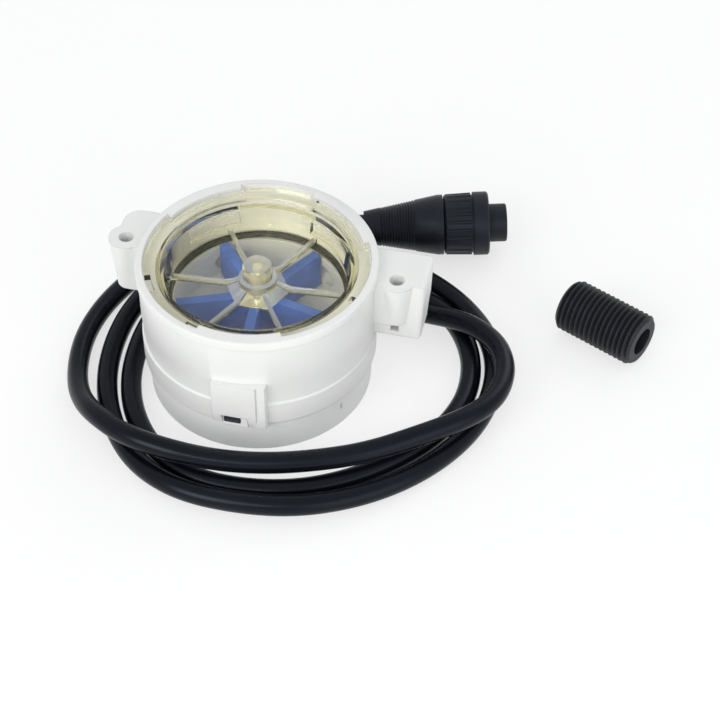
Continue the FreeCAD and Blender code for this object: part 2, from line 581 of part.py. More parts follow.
def make_rear_cover():
    """The white cover that closes the back and holds the board, with its cable outlet and hooks."""
    body = new_body("rear_cover")
    revolve(body, [[
        ("0", "0"),
        ("cover_r", "0"),
        ("cover_r", SEAM),
        (SPIGOT_R, SEAM),
        (SPIGOT_R, f"{ROOF} - fit"),
        ("0", f"{ROOF} - fit"),
    ]])
    extrude(body, "YZ_Plane", "outlet_end - outlet_start", lift="outlet_start",
            circles=[("outlet_y", "outlet_z", "outlet_r")])
    for side in ("-1", "1"):
        extrude(body, "XY_Plane", "hook_drop + window_height - fit", lift=f"{SEAM} - hook_drop",
                outlines=[rectangle("latch_x - window_width / 2 + fit",
                                    "latch_x + window_width / 2 - fit",
                                    f"{side} * ({SPIGOT_R} - 0.6)",
                                    f"{side} * (skirt_r + hook_proud)")])
    revolve(body, [rectangle("0", CAVITY_R, "cover_floor", f"{ROOF} + 1")], cut=True)
    extrude(body, "YZ_Plane", "relief_plug + outlet_room + 1", cut=True,
            lift="outlet_end - relief_plug - outlet_room",
            circles=[("outlet_y", "outlet_z", "relief_plug_r + fit")])
    post = extrude(body, "XY_Plane", f"{BOARD_FOOT} - cover_floor + fit", lift="cover_floor - fit",
                   circles=[("post_circle", "0", "post_r")], turn="30")
    repeat_round(body, post, "3")
    stake = extrude(body, "XY_Plane", "board_thickness + stake_rise + fit", turn="30",
                    lift=f"{BOARD_FOOT} - fit", circles=[("post_circle", "0", "stake_r")])
    repeat_round(body, stake, "3")
    revolve(body, [rectangle("cover_r - slot_depth", "cover_r + 1",
                             "slot_rise", "slot_rise + slot_height")],
            cut=True, angle="slot_width", turn="slot_angle")
    extrude(body, "XZ_Plane", "plug_depth + 1", cut=True,
            lift="skirt_r + hook_proud - plug_depth + plug_proud", outlines=[
                rectangle("latch_x - plug_shift - plug_width / 2 - fit",
                          "latch_x - plug_shift + plug_width / 2 + fit",
                          f"{SEAM} + window_height - fit - plug_height - 0.1", f"{ROOF} + 1")])


def make_latch_plug():
    """The small black plug that locks the front hook."""
    box(("latch_x - plug_shift - plug_width / 2", "-(skirt_r + hook_proud + plug_proud)",
         f"{SEAM} + window_height - fit - plug_height"),
        ("plug_width", "plug_depth", "plug_height"))
    keep(doc.ActiveObject, "latch_plug")


def make_lens():
    """The amber bayonet lens: window plate, ribs, centre boss with the pin's hole, lobed flange."""
    body = new_body("window_lens")
    middle_r = f"({LENS_R} - cup_middle_wall)"
    lip_r = f"({middle_r} + cup_lip_step)"
    revolve(body, [[
        ("0", WINDOW),
        (LENS_R, WINDOW),
        (LENS_R, FLANGE),
        (LENS_NECK_R, FLANGE),
        (LENS_NECK_R, FLANGE_TOP),
        (lip_r, FLANGE_TOP),
        (lip_r, f"{FLANGE_TOP} - cup_lip"),
        (middle_r, f"{FLANGE_TOP} - cup_lip - step_height"),
        (f"{LENS_R} - cup_bottom_wall", f"{PLATE_TOP} + cup_ledge"),
        (f"{LENS_R} - cup_bottom_wall", PLATE_TOP),
        ("hub_boss_r", PLATE_TOP),
        ("hub_boss_r", f"{PLATE_TOP} + hub_boss_height"),
        ("knob_r", f"{PLATE_TOP} + hub_boss_height + step_height"),
        ("knob_r", f"{KNOB_TOP} - step_height"),
        ("knob_r - step_height", KNOB_TOP),
        ("0", KNOB_TOP),
    ]])
    for start, end in LOBES:
        revolve(body, [rectangle(f"{LENS_NECK_R} - 0.5", LOBE_R, FLANGE, FLANGE_TOP)],
                angle=str(end - start), turn=str((start + end) / 2))
    for direction, _ in TABS:
        low = f"({PLATE_TOP} + grip_rise)"
        revolve(body, [rectangle(f"{LENS_R} - cup_bottom_wall - 1",
                                 f"{middle_r} + grip_depth", low, f"{low} + grip_height")],
                cut=True, angle="grip_width", turn=direction)
    make_funnel(body)
    root = f"({PLATE_TOP} - 0.2)"
    rib = extrude(body, "XZ_Plane", "rib_thickness", lift="-rib_thickness / 2", turn="rib_angle",
                  outlines=[[
                      ("hub_boss_r - 0.5", root),
                      (f"{LENS_R} - cup_bottom_wall + 0.3", root),
                      (f"{LENS_R} - cup_bottom_wall + 0.3", f"{PLATE_TOP} + rib_height"),
                      ("funnel_r", f"{PLATE_TOP} + rib_height"),
                      ("hub_boss_r - 0.5", f"{PLATE_TOP} + gusset_height"),
                  ]])
    repeat_round(body, rib, "rib_count")
    revolve(body, [rectangle("0", "pin_r + pin_play", f"{WINDOW} - 1", PIN_HOLE_TOP)], cut=True)


def make_funnel(body):
    """The six-sided foot that slopes from the window plate up to the centre boss."""
    before = volume_of(body)
    rings = []
    for radius, height in (("funnel_r", f"{PLATE_TOP} - 0.2"),
                           ("hub_boss_r", f"{PLATE_TOP} + funnel_height")):
        outline = [(f"({radius}) * {math.cos(math.radians(60 * step)):.6f}",
                    f"({radius}) * {math.sin(math.radians(60 * step)):.6f}") for step in range(6)]
        rings.append(new_sketch(body, "XY_Plane", [outline], lift=height, turn="rib_angle"))
    foot = body.newObject("PartDesign::AdditiveLoft", "Funnel")
    foot.Profile = rings[0]
    foot.Sections = [rings[1]]
    finish(body, foot, before, False)


def make_seal_ring():
    ring = doc.addObject("Part::Torus", "Ring")
    ring.setExpression("Radius1", sized("chamber_r + seal_width / 2"))
    ring.setExpression("Radius2", sized("ring_r"))
    ring.setExpression("Placement.Base.z", sized(f"{SEAL_SEAT} + ring_r + lens_gap / 2"))
    keep(ring, "window_seal_ring")


def make_rotor():
    """The blue paddle wheel and the magnets in the lower edges of its blades."""
    body = new_body("rotor")
    revolve(body, [rectangle("pin_r + bearing_play", "rotor_hub_r", ROTOR_FOOT,
                             f"{WINDOW} - gap")])
    blade = extrude(body, "XZ_Plane", "blade_thickness", lift="-blade_thickness / 2",
                    turn="blade_angle", outlines=[
                        rectangle("rotor_hub_r - 0.3", "chamber_r - blade_tip_gap",
                                  BLADE_FOOT, BLADE_TOP)])
    repeat_round(body, blade, "blade_count")
    socket = extrude(body, "XY_Plane", "magnet_length + fit", lift=BLADE_FOOT, cut=True,
                     circles=[("hall_circle", "0", "magnet_r + fit / 2")], turn="blade_angle")
    repeat_round(body, socket, "blade_count")
    count = round(amount_of("blade_count"))
    magnets = []
    for step in range(count):
        angle = f"(blade_angle + {step} * 360 / blade_count)"
        magnets.append(cylinder((f"hall_circle * cos({angle})", f"hall_circle * sin({angle})",
                                 BLADE_FOOT), "magnet_r", "magnet_length"))
    together(magnets, "rotor_magnets")


def make_pin():
    body = new_body("rotor_pin")
    top = f"({PIN_HOLE_TOP} - pin_top_gap)"
    revolve(body, [[
        ("0", PIN_FOOT),
        ("pin_r - pin_edge", PIN_FOOT),
        ("pin_r", f"{PIN_FOOT} + pin_edge"),
        ("pin_r", f"{top} - pin_edge"),
        ("pin_r - pin_edge", top),
        ("0", top),
    ]])


def make_board():
    """The circuit board on its posts, the field sensor that looks at the rotor, and the parts."""
    body = new_body("circuit_board")
    extrude(body, "XY_Plane", "board_thickness", lift=BOARD_FOOT, circles=[("0", "0", "board_r")])
    hole = extrude(body, "XY_Plane", "board_thickness + 2", lift=f"{BOARD_FOOT} - 1", cut=True,
                   circles=[("post_circle", "0", "stake_r + fit")], turn="30")
    repeat_round(body, hole, "3")
    sensor = [box(("-hall_width / 2", "-hall_circle - hall_thickness / 2",
                   f"{BOARD_TOP} + hall_lead"), ("hall_width", "hall_thickness", "hall_height"))]
    for step in (-1, 0, 1):
        sensor.append(cylinder((f"{step} * hall_width / 3", "-hall_circle", BOARD_TOP),
                               "wire_r / 2", "hall_lead + 0.2"))
    together(sensor, "hall_sensor", "Part::MultiFuse")
    chips = []
    for across, back, length, width, height in ((6.5, -6.0, 6.2, 5.0, 1.7),
                                                (-11.5, -4.5, 4.6, 3.9, 1.5),
                                                (6.0, 4.0, 3.2, 1.6, 0.9),
                                                (-5.5, 3.0, 3.2, 1.6, 0.9)):
        chips.append(box((str(across), str(back), BOARD_TOP),
                         (str(length), str(width), str(height))))
    chips.append(cylinder(("-12", "6", BOARD_TOP), "2", "2.8"))
    together(chips, "board_components")


def make_wires():
    """The three insulated leads from the cable's end round the board's edge to their pads."""
    wires = []
    radius = amount_of("wire_r")
    top = amount_of(BOARD_TOP)
    inner = amount_of("outlet_end - relief_plug")
    for step in (-1, 0, 1):
        aside = step * amount_of("wire_spacing")
        height = amount_of("outlet_z") + aside
        start_y = amount_of("outlet_y") - 0.5
        edge = amount_of("board_r")
        points = [
            (inner, start_y, height),
            (inner - 2.4, start_y, height),
        ]
        for back, spread, out, rise in LEAD_PATH:
            points.append((inner - back + spread * aside, edge + out, top + rise))
        solid, _, _ = tube(points, radius)
        wire = doc.addObject("Part::Feature", "Wire")
        wire.Shape = solid
        wires.append(wire)
    together(wires, "lead_wires")


def lay(feature, start, direction):
    """Stand a piece that was made round the Z axis on a point, along a direction."""
    feature.Placement = FreeCAD.Placement(start, FreeCAD.Rotation(Vector(0, 0, 1), direction))


def make_strain_relief():
    """The black boot: a plug and collar in the outlet, and a ringed taper that bends up to the
    cable's start."""
    foot = Vector(amount_of("outlet_end - relief_plug"), amount_of("outlet_y"),
                  amount_of("outlet_z"))
    outward = Vector(1, 0, 0)
    plug = Part.makeCylinder(amount_of("relief_plug_r"), amount_of("relief_plug"), foot, outward)
    face = foot + outward * amount_of("relief_plug")
    collar = Part.makeCylinder(amount_of("relief_collar_r"), amount_of("relief_collar"), face,
                               outward)
    root = face + outward * amount_of("relief_collar")
    tip = Vector(*ROUTE[0])
    chord = tip - root
    across = chord - outward * chord.dot(outward)
    bend_r = chord.dot(chord) / (2 * across.Length)
    centre = root + across.normalize() * bend_r
    turn = outward.getAngle(chord) * 2

    def along(share):
        """A point on the bent axis and the direction there."""
        angle = turn * share
        ahead = outward * math.cos(angle) + across * math.sin(angle)
        inward = across * math.cos(angle) - outward * math.sin(angle)
        return centre - inward * bend_r, ahead

    path = Part.Wire(Part.Arc(root, along(0.5)[0], tip).toShape())
    root_r = amount_of("relief_root_r")
    tip_r = amount_of("relief_tip_r")
    sections = [Part.Wire(Part.makeCircle(root_r, root, outward)),
                Part.Wire(Part.makeCircle(tip_r, *along(1)))]
    boot = path.makePipeShell(sections, True, True)
    solid = plug.fuse([collar, boot])
    count = round(amount_of("relief_ring_count"))
    for ring in range(count):
        share = (ring + 1) / (count + 1)
        point, ahead = along(share)
        radius = root_r + (tip_r - root_r) * share + amount_of("relief_ring_r") * 0.3
        solid = solid.cut(Part.makeTorus(radius, amount_of("relief_ring_r"), point, ahead))
    relief = doc.addObject("Part::Feature", "Boot")
    relief.Shape = solid
    keep(relief, "cable_strain_relief")


def make_cable():
    """The free cable, with its length, radii and volume printed for checking."""
    radius = amount_of("cable_r")
    solid, length, radii = tube(ROUTE, radius)
    print(f"cable length {length:.1f}, smallest radii {[round(r, 1) for r in sorted(radii)[:5]]}")
    print(f"cable volume {solid.Volume:.0f}, section times length {math.pi * radius**2 * length:.0f}")
    cable = doc.addObject("Part::Feature", "Cable")
    cable.Shape = solid
    keep(cable, "sensor_cable")


def make_connector():
    """The plug on the cable's far end, made round the Z axis with its tail at zero."""
    tail = Vector(*ROUTE[-1])
    heading = tail - Vector(*ROUTE[-2])
    heading.normalize()
    first = len(pieces)
    front = "(bushing_length + backshell_cone + backshell_band)"
    nut_foot = f"({front} + gap)"
    nut_top = f"({nut_foot} + nut_length)"
    flange = f"({nut_foot} + nut_lip + gap)"
    nose_top = f"({nut_top} + nose_reach)"
    insert_foot = f"({nose_top} - nose_depth)"

    bushing = new_body("connector_tail_bushing")
    revolve(bushing, [[
        ("0", "0"),
        ("bushing_r - 0.4", "0"),
        ("bushing_r", "0.4"),
        ("bushing_r", "bushing_length"),
        ("bushing_neck_r", "bushing_length"),
        ("bushing_neck_r", "bushing_length + bushing_neck"),
        ("0", "bushing_length + bushing_neck"),
    ]])

    backshell = new_body("connector_backshell")
    ring_pitch = "(backshell_ring_length / backshell_ring_count)"
    slope = "((backshell_r - backshell_tail_r) / backshell_cone)"
    outline = [("backshell_tail_r", "bushing_length")]
    for step in range(round(amount_of("backshell_ring_count"))):
        along = f"(backshell_ring_start + {step} * {ring_pitch})"
        outside = f"backshell_tail_r + {slope} * {along}"
        outline.append((outside, f"bushing_length + {along}"))
        outline.append((f"{outside} - backshell_ring_depth",
                        f"bushing_length + {along} + 0.35 * {ring_pitch}"))
    ringed = "(backshell_ring_start + backshell_ring_length)"
    outline += [
        (f"backshell_tail_r + {slope} * {ringed}", f"bushing_length + {ringed}"),
        ("backshell_r", "bushing_length + backshell_cone"),
        ("backshell_r", front),
        ("0", front),
        ("0", "bushing_length + bushing_neck + fit"),
        ("bushing_neck_r + fit", "bushing_length + bushing_neck + fit"),
        ("bushing_neck_r + fit", "bushing_length"),
    ]
    revolve(backshell, [outline])

    nut = new_body("coupling_nut")
    groove_foot = f"({nut_foot} + nut_groove_start)"
    groove_top = f"({groove_foot} + nut_groove_width)"
    shell_root_r = "(shell_r - nose_step)"
    lip_r = f"({shell_root_r} + gap)"
    groove_r = "(nut_foot_r + (nut_r - nut_foot_r) * nut_groove_start / nut_length)"
    revolve(nut, [[
        (lip_r, nut_foot),
        ("nut_foot_r - 0.5", nut_foot),
        ("nut_foot_r", f"{nut_foot} + 0.5"),
        (groove_r, groove_foot),
        ("nut_r - nut_groove_depth", groove_foot),
        ("nut_r - nut_groove_depth", groove_top),
        ("nut_r", groove_top),
        ("nut_r", f"{nut_top} - 0.4"),
        ("nut_r - 0.4", nut_top),
        ("nut_bore_r", nut_top),
        ("nut_bore_r", f"{nut_foot} + nut_lip"),
        (lip_r, f"{nut_foot} + nut_lip"),
    ]])
    flute = extrude(nut, "XY_Plane", "nut_groove_start + 1", lift=f"{nut_foot} - 1", cut=True,
                    circles=[("nut_r", "0", "flute_r")])
    repeat_round(nut, flute, "flute_count")

    shell = new_body("connector_shell")
    revolve(shell, [[
        ("0", front),
        (shell_root_r, front),
        (shell_root_r, flange),
        ("nut_bore_r - gap", flange),
        ("nut_bore_r - gap", f"{flange} + shell_flange"),
        (shell_root_r, f"{flange} + shell_flange"),
        (shell_root_r, f"{nut_top} + 0.2"),
        ("shell_r", f"{nut_top} + 0.2"),
        ("shell_r", f"{nose_top} - 0.3"),
        ("shell_r - 0.3", nose_top),
        ("shell_r - shell_wall", nose_top),
        ("shell_r - shell_wall", insert_foot),
        ("0", insert_foot),
    ]])

    gasket = new_body("connector_gasket")
    gasket_foot = f"({flange} + shell_flange)"
    revolve(gasket, [rectangle(f"{shell_root_r} + fit / 2", "nut_bore_r - gap", gasket_foot,
                               f"{gasket_foot} + gasket_thickness")])

    insert = new_body("contact_insert")
    insert_top = f"({insert_foot} + insert_height)"
    revolve(insert, [[
        ("0", insert_foot),
        ("shell_r - shell_wall - fit", insert_foot),
        ("shell_r - shell_wall - fit", insert_top),
        ("0", insert_top),
    ]])

    contacts = [cylinder(("0", "0", insert_top), "contact_r", "contact_length")]
    for step in range(4):
        angle = f"(45 + {step} * 90)"
        contacts.append(cylinder((f"contact_circle * cos({angle})",
                                  f"contact_circle * sin({angle})", insert_top),
                                 "contact_r", "contact_length"))
    together(contacts, "connector_contacts")

    for piece in pieces[first:]:
        lay(piece, tail, heading)


def make_nipple():
    """The loose close nipple that lies beside the sensor."""
    body = new_body("port_nipple")
    revolve(body, [[
        ("nipple_bore_r", "0"),
        ("nipple_r - nipple_bevel", "0"),
        ("nipple_r", "nipple_bevel"),
        ("nipple_r", "nipple_length - nipple_bevel"),
        ("nipple_r - nipple_bevel", "nipple_length"),
        ("nipple_bore_r", "nipple_length"),
    ]])
    yaw = math.radians(amount_of("nipple_yaw"))
    lay(body, Vector(amount_of("nipple_x"), amount_of("nipple_y"), amount_of("nipple_r")),
        Vector(math.cos(yaw), math.sin(yaw), 0))


def export():
    """Check every object and every piece, then write one file for each piece."""
    doc.recompute()
    for thing in doc.Objects:
        if "Invalid" in thing.State or "Error" in thing.State:
            raise RuntimeError(f"{thing.Label} failed: {thing.State}")
    for piece in pieces:
        if piece.Shape.isNull() or not piece.Shape.isValid():
            raise RuntimeError(f"{piece.Label} has no valid shape")
    os.makedirs("parts", exist_ok=True)
    for piece in pieces:
        piece.Shape.exportStep(f"parts/{piece.Label}.step")
    print(f"{len(pieces)} pieces written")


make_housing()
make_rear_cover()
make_latch_plug()
make_lens()
make_seal_ring()
make_rotor()
make_pin()
make_board()
make_wires()
make_strain_relief()
make_cable()
make_connector()
make_nipple()
export()
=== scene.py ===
"""Rotary flow sensor on a pale studio floor.

A white moulded body holds a clear amber window lens over a blue paddle wheel. Its black cable lies
round it in three loose turns and ends in a round plug, and a loose pipe nipple lies beside it. All
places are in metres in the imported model's frame: +Z is the rotor's axis, +X the line of the ports.
"""
import json
import math

import bpy
from bpy.props import FloatProperty, FloatVectorProperty, IntProperty, PointerProperty
from mathutils import Matrix, Vector

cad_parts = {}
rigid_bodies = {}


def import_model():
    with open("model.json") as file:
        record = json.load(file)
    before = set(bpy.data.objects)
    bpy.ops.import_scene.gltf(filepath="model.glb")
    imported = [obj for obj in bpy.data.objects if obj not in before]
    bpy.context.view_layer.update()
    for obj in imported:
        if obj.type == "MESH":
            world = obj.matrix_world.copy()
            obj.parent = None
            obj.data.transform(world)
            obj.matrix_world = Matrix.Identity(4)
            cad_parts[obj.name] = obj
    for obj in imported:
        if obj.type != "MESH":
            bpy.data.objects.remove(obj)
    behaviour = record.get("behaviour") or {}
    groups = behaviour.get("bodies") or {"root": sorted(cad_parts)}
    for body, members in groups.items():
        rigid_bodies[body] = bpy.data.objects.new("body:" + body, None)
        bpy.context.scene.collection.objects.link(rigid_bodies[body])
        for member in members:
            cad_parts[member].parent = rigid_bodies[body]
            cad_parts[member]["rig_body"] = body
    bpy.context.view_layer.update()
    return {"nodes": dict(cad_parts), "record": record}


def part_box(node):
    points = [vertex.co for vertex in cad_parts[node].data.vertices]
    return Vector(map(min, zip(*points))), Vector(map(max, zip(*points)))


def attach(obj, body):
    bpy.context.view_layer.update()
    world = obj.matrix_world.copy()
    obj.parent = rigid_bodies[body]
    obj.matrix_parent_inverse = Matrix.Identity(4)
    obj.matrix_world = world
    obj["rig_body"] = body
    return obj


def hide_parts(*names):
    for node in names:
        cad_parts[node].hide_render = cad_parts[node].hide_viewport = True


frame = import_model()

bl_info = {
    "name": "Rotary Flow Sensor",
    "version": (1, 0, 0),
    "blender": (4, 5, 0),
    "location": "View3D > Sidebar > Flow Sensor",
    "description": "Finishes a flow sensor with its window lens, paddle wheel, cable and nipple",
    "category": "Object",
}

MM = 0.001

# Corners closer than this are made one
WELD_DISTANCE = 0.002 * MM
# Packed triangles that turn by less than this are joined into one face
FLAT_ANGLE = math.radians(0.6)
# Only edges that turn by more than this are softened
SOFTENED_ANGLE = math.radians(40.0)

# The photograph's view: from the front and a little to the right, down on the sensor
VIEW_PLACE = Vector((0.0923, -0.3024, 0.3254))
VIEW_AZIMUTH = math.radians(12.5)
VIEW_ELEVATION = math.radians(45.68)
VIEW_ROLL = 0.009
VIEW_LENS = 90.0
VIEW_SENSOR = 36.0
VIEW_NEAREST = 0.01

# The soft lights, all aimed at the sensor: name, place, width in metres and power in watts
LIGHTS = (
    ("key_light", (-0.36, -0.78, 0.52), 0.5, 3.4),
    ("glint_light", (0.02, -0.55, 0.40), 0.09, 0.22),
    ("rim_light", (0.35, 0.75, 0.60), 0.6, 1.5),
    ("fill_light", (0.75, -0.65, 0.35), 0.8, 2.2),
)
LIGHT_AIM = Vector((0.01, 0, 0.015))

# The surroundings light the pieces more weakly than the camera sees them
SKY_COLOUR = (0.97, 0.985, 1.0, 1)
SKY_LIGHT = 0.65
SKY_SEEN = 1.0

# The floor glows by a share where the camera or a gloss sees it, and is plain elsewhere
FLOOR_SIZE = 6.0
FLOOR_DROP = 0.05 * MM
FLOOR_COLOUR = (0.93, 0.93, 0.93, 1)
FLOOR_GLOW_SHARE = 0.62
FLOOR_GLOW = 1.06

# The lens's surface, the slow patches in it, the painted light of its ribs and knob, and the light
# in its shadow
LENS_TONE = (0.99, 0.985, 0.93, 1)
LENS_SHADE = (0.98, 0.97, 0.88, 1)
LENS_RIB_PAINTED_LIGHT = (1.0, 0.97, 0.78, 1)
LENS_SHADOW = (0.99, 0.985, 0.965, 1)
# How much of the light passes the lens's plain walls and its ribs, which are hazy so that their
# straw tone paints in the light they catch
LENS_CLEAR = 0.995
LENS_PAINTED_HAZE = 0.70
LENS_IOR = 1.49
# How fast the lens's own colour deepens with its thickness
LENS_DENSITY = 115.0

# The sheen of the black plastic is a little blue
COOL_SHEEN = (0.80, 0.90, 1.0, 1.0)

# The cable's route in millimetres, from the strain relief to the plug
CABLE_ROUTE = [
    (33.0, 23.9, 4.9), (38.075, 22.834, 5.281), (43.5, 20.6, 7.4), (50.4, 17.9, 8.7),
    (57.6, 12.6, 8.9), (61.2, 3.6, 9.3), (60.3, -6.4, 9.5), (54.8, -14.6, 9.9), (45.0, -22.4, 9.8),
    (34.0, -29.8, 9.0), (22.4, -34.4, 8.2), (10.5, -37.8, 7.8), (-1.5, -39.8, 8.4),
    (-12.6, -40.2, 9.8), (-23.0, -38.2, 10.0), (-32.0, -32.8, 8.8), (-39.2, -24.6, 5.0),
    (-43.8, -14.2, 2.7), (-45.8, -2.8, 2.7), (-44.8, 8.4, 2.7), (-41.2, 19.4, 2.7),
    (-35.4, 30.0, 2.7), (-26.0, 39.2, 2.7), (-12.8, 42.4, 2.7), (1.2, 42.2, 2.7), (15.0, 42.0, 2.7),
    (28.0, 41.0, 2.7), (38.4, 36.0, 2.7), (46.6, 29.8, 2.7), (53.4, 21.8, 2.7), (57.6, 11.6, 2.7),
    (58.4, 0.2, 2.7), (56.0, -11.2, 2.7), (50.4, -22.0, 2.7), (42.4, -31.8, 3.0),
    (32.2, -40.0, 3.6), (19.6, -45.8, 4.0), (5.8, -47.8, 4.2), (-8.0, -46.8, 4.0),
    (-20.2, -40.6, 3.4), (-29.4, -29.8, 2.7), (-35.2, -17.4, 2.7), (-37.8, -4.4, 2.7),
    (-37.6, 8.6, 2.7), (-34.2, 20.6, 2.7), (-26.4, 30.2, 2.7), (-15.2, 35.4, 2.7),
    (-2.0, 36.4, 2.7), (11.4, 35.8, 2.7), (24.2, 34.8, 2.7), (34.2, 30.8, 2.7), (42.8, 26.4, 2.7),
    (48.9, 18.0, 2.7), (52.3, 7.8, 2.7), (52.2, -3.8, 2.7), (47.6, -15.6, 2.7), (39.8, -25.6, 2.7),
    (30.4, -33.8, 2.7), (19.4, -39.6, 2.7), (7.2, -42.2, 2.7), (-5.0, -41.8, 2.7),
    (-16.0, -36.4, 2.7), (-24.8, -26.4, 2.7), (-29.8, -14.8, 2.7), (-31.6, -2.4, 2.7),
    (-31.0, 9.6, 2.7), (-27.6, 19.8, 3.4), (-21.6, 28.8, 8.8), (-16.6, 38.0, 9.6),
    (-8.0, 43.2, 8.6), (1.53, 45.86, 6.79), (11.23, 48.26, 7.17),
]
PLUG_HEADING = (Vector(CABLE_ROUTE[-1]) - Vector(CABLE_ROUTE[-2])).normalized()


def mount(name):
    """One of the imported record's mounts, by name."""
    return next(item for item in frame["record"]["mounts"] if item["name"] == name)


def length_setting(name, note, millimetres):
    """A length for the sidebar, given in millimetres."""
    return FloatProperty(name=name, description=note, default=millimetres * MM, min=0.0,
                         unit="LENGTH", precision=5)


def colour_setting(name, note, colour):
    """A colour for the sidebar, in linear light."""
    return FloatVectorProperty(name=name, description=note, default=colour, min=0.0, max=1.0,
                               size=3, subtype="COLOR")


class FlowSensorSizes(bpy.types.PropertyGroup):
    """Lengths of the cable, the nipple, the lens and the soft edges"""
    cable_diameter: length_setting("Cable Diameter", "Outside diameter of the cable", 5.2)
    cable_length: length_setting("Cable Length", "Length of the cable between its two ends", 829.2)
    thread_pitch: length_setting("Thread Pitch", "Pitch of the pipe thread on the nipple", 1.41)
    thread_depth: length_setting("Thread Depth", "Depth of the pipe thread", 0.95)
    nipple_bore: length_setting("Nipple Bore", "Radius of the nipple's bore", 3.6)
    nipple_bevel: length_setting("Nipple Bevel", "Bevel of the nipple's ends", 1.0)
    edge_softness: length_setting("Edge Softness", "Rounding of the moulded edges", 0.22)
    lens_plate: length_setting("Lens Plate", "Thickness of the lens's window plate", 1.7)
    lens_ribs: length_setting("Lens Ribs", "Reach of the ribs on the window plate", 20.8)
    thread_sides: IntProperty(name="Thread Sides", description="Faces round the nipple's thread",
                              default=72, min=24, max=180)


class FlowSensorColours(bpy.types.PropertyGroup):
    """Colours of the sensor's plastics and rubbers"""
    body: colour_setting("Body", "White moulded plastic of the body", (0.855, 0.86, 0.84))
    # Painted light: the cover's white is set lighter than the body's to make up for the shade it
    # stands in, low down under the skirt
    cover: colour_setting("Cover", "White moulded plastic of the rear cover", (0.95, 0.955, 0.94))
    lens: colour_setting("Lens", "Light that passes thick stretches of lens", (0.95, 0.925, 0.70))
    # The rotor's blue is its own colour, but painted brighter to make up for the light that does not
    # reach into the chamber under the lens
    rotor: colour_setting("Rotor", "Blue plastic of the paddle wheel", (0.07, 0.215, 0.92))
    plug: colour_setting("Plug", "Black plastic of the cable's plug", (0.008, 0.009, 0.015))
    cable: colour_setting("Cable", "Black jacket of the cable", (0.003, 0.0035, 0.0065))
    nipple: colour_setting("Nipple", "Dark filled plastic of the nipple", (0.013, 0.015, 0.021))
    rubber: colour_setting("Rubber", "Black rubber of the seals and boots", (0.012, 0.012, 0.012))


# Shared tools for nodes, meshes and pieces


def node(tree, kind, sockets=(), **settings):
    """Add a node, set its options, and give its sockets values or links."""
    made = tree.nodes.new(kind)
    for option, value in settings.items():
        setattr(made, option, value)
    for socket, value in dict(sockets).items():
        if isinstance(value, bpy.types.NodeSocket):
            tree.links.new(value, made.inputs[socket])
        else:
            made.inputs[socket].default_value = value
    return made


def link(tree, target, sources):
    """Link outputs to a node's named inputs."""
    for socket, source in sources.items():
        tree.links.new(source, target.inputs[socket])


def calculated(tree, operation, *values):
    """The result of one operation on numbers and links."""
    return node(tree, "ShaderNodeMath", dict(enumerate(values)), operation=operation).outputs[0]


def mixed(tree, share, first, second, **settings):
    """The first colour, with a share of the second."""
    return node(tree, "ShaderNodeMix", {0: share, 6: first, 7: second}, data_type="RGBA",
                **settings).outputs[2]


def effect(name, inputs, outputs):
    """An empty node group with named sockets, and its input and output nodes."""
    group = bpy.data.node_groups.new(name, "ShaderNodeTree")
    for socket, kind, value in inputs:
        made = group.interface.new_socket(socket, in_out="INPUT", socket_type=kind)
        made.default_value = value
    for socket, kind in outputs:
        group.interface.new_socket(socket, in_out="OUTPUT", socket_type=kind)
    return group, node(group, "NodeGroupInput"), node(group, "NodeGroupOutput")


def shared(build):
    """Build an effect on its first use, and hand out the same group after that."""
    def group():
        return bpy.data.node_groups.get(build.__name__) or build(build.__name__)
    return group


NUMBER = "NodeSocketFloat"
COLOUR = "NodeSocketColor"
ARROW = "NodeSocketVector"


@shared
def moulded_surface(name):
    """Slow changes of tone and gloss, and a fine grain, as on a moulded part."""
    group, given, result = effect(
        name,
        [("Colour", COLOUR, (0.8, 0.8, 0.8, 1)), ("Shade", COLOUR, (0.7, 0.7, 0.7, 1)),
         ("Mottle Scale", NUMBER, 70.0), ("Grain Scale", NUMBER, 1800.0),
         ("Roughness", NUMBER, 0.35), ("Spread", NUMBER, 0.12)],
        [("Colour", COLOUR), ("Roughness", NUMBER), ("Height", NUMBER)])
    place = node(group, "ShaderNodeTexCoord").outputs["Object"]
    mottle = node(group, "ShaderNodeTexNoise", {
        "Vector": place, "Scale": given.outputs["Mottle Scale"], "Detail": 5.0,
        "Roughness": 0.55}).outputs["Fac"]
    grain = node(group, "ShaderNodeTexNoise", {
        "Vector": place, "Scale": given.outputs["Grain Scale"], "Detail": 3.0,
        "Roughness": 0.6}).outputs["Fac"]
    share = node(group, "ShaderNodeMapRange", {
        "Value": mottle, "From Min": 0.38, "From Max": 0.66}).outputs["Result"]
    link(group, result, {
        "Colour": mixed(group, share, given.outputs["Colour"], given.outputs["Shade"]),
        "Roughness": calculated(group, "MULTIPLY_ADD", mottle, given.outputs["Spread"],
                                given.outputs["Roughness"]),
        "Height": calculated(group, "MULTIPLY_ADD", mottle, 0.6, grain)})
    return group


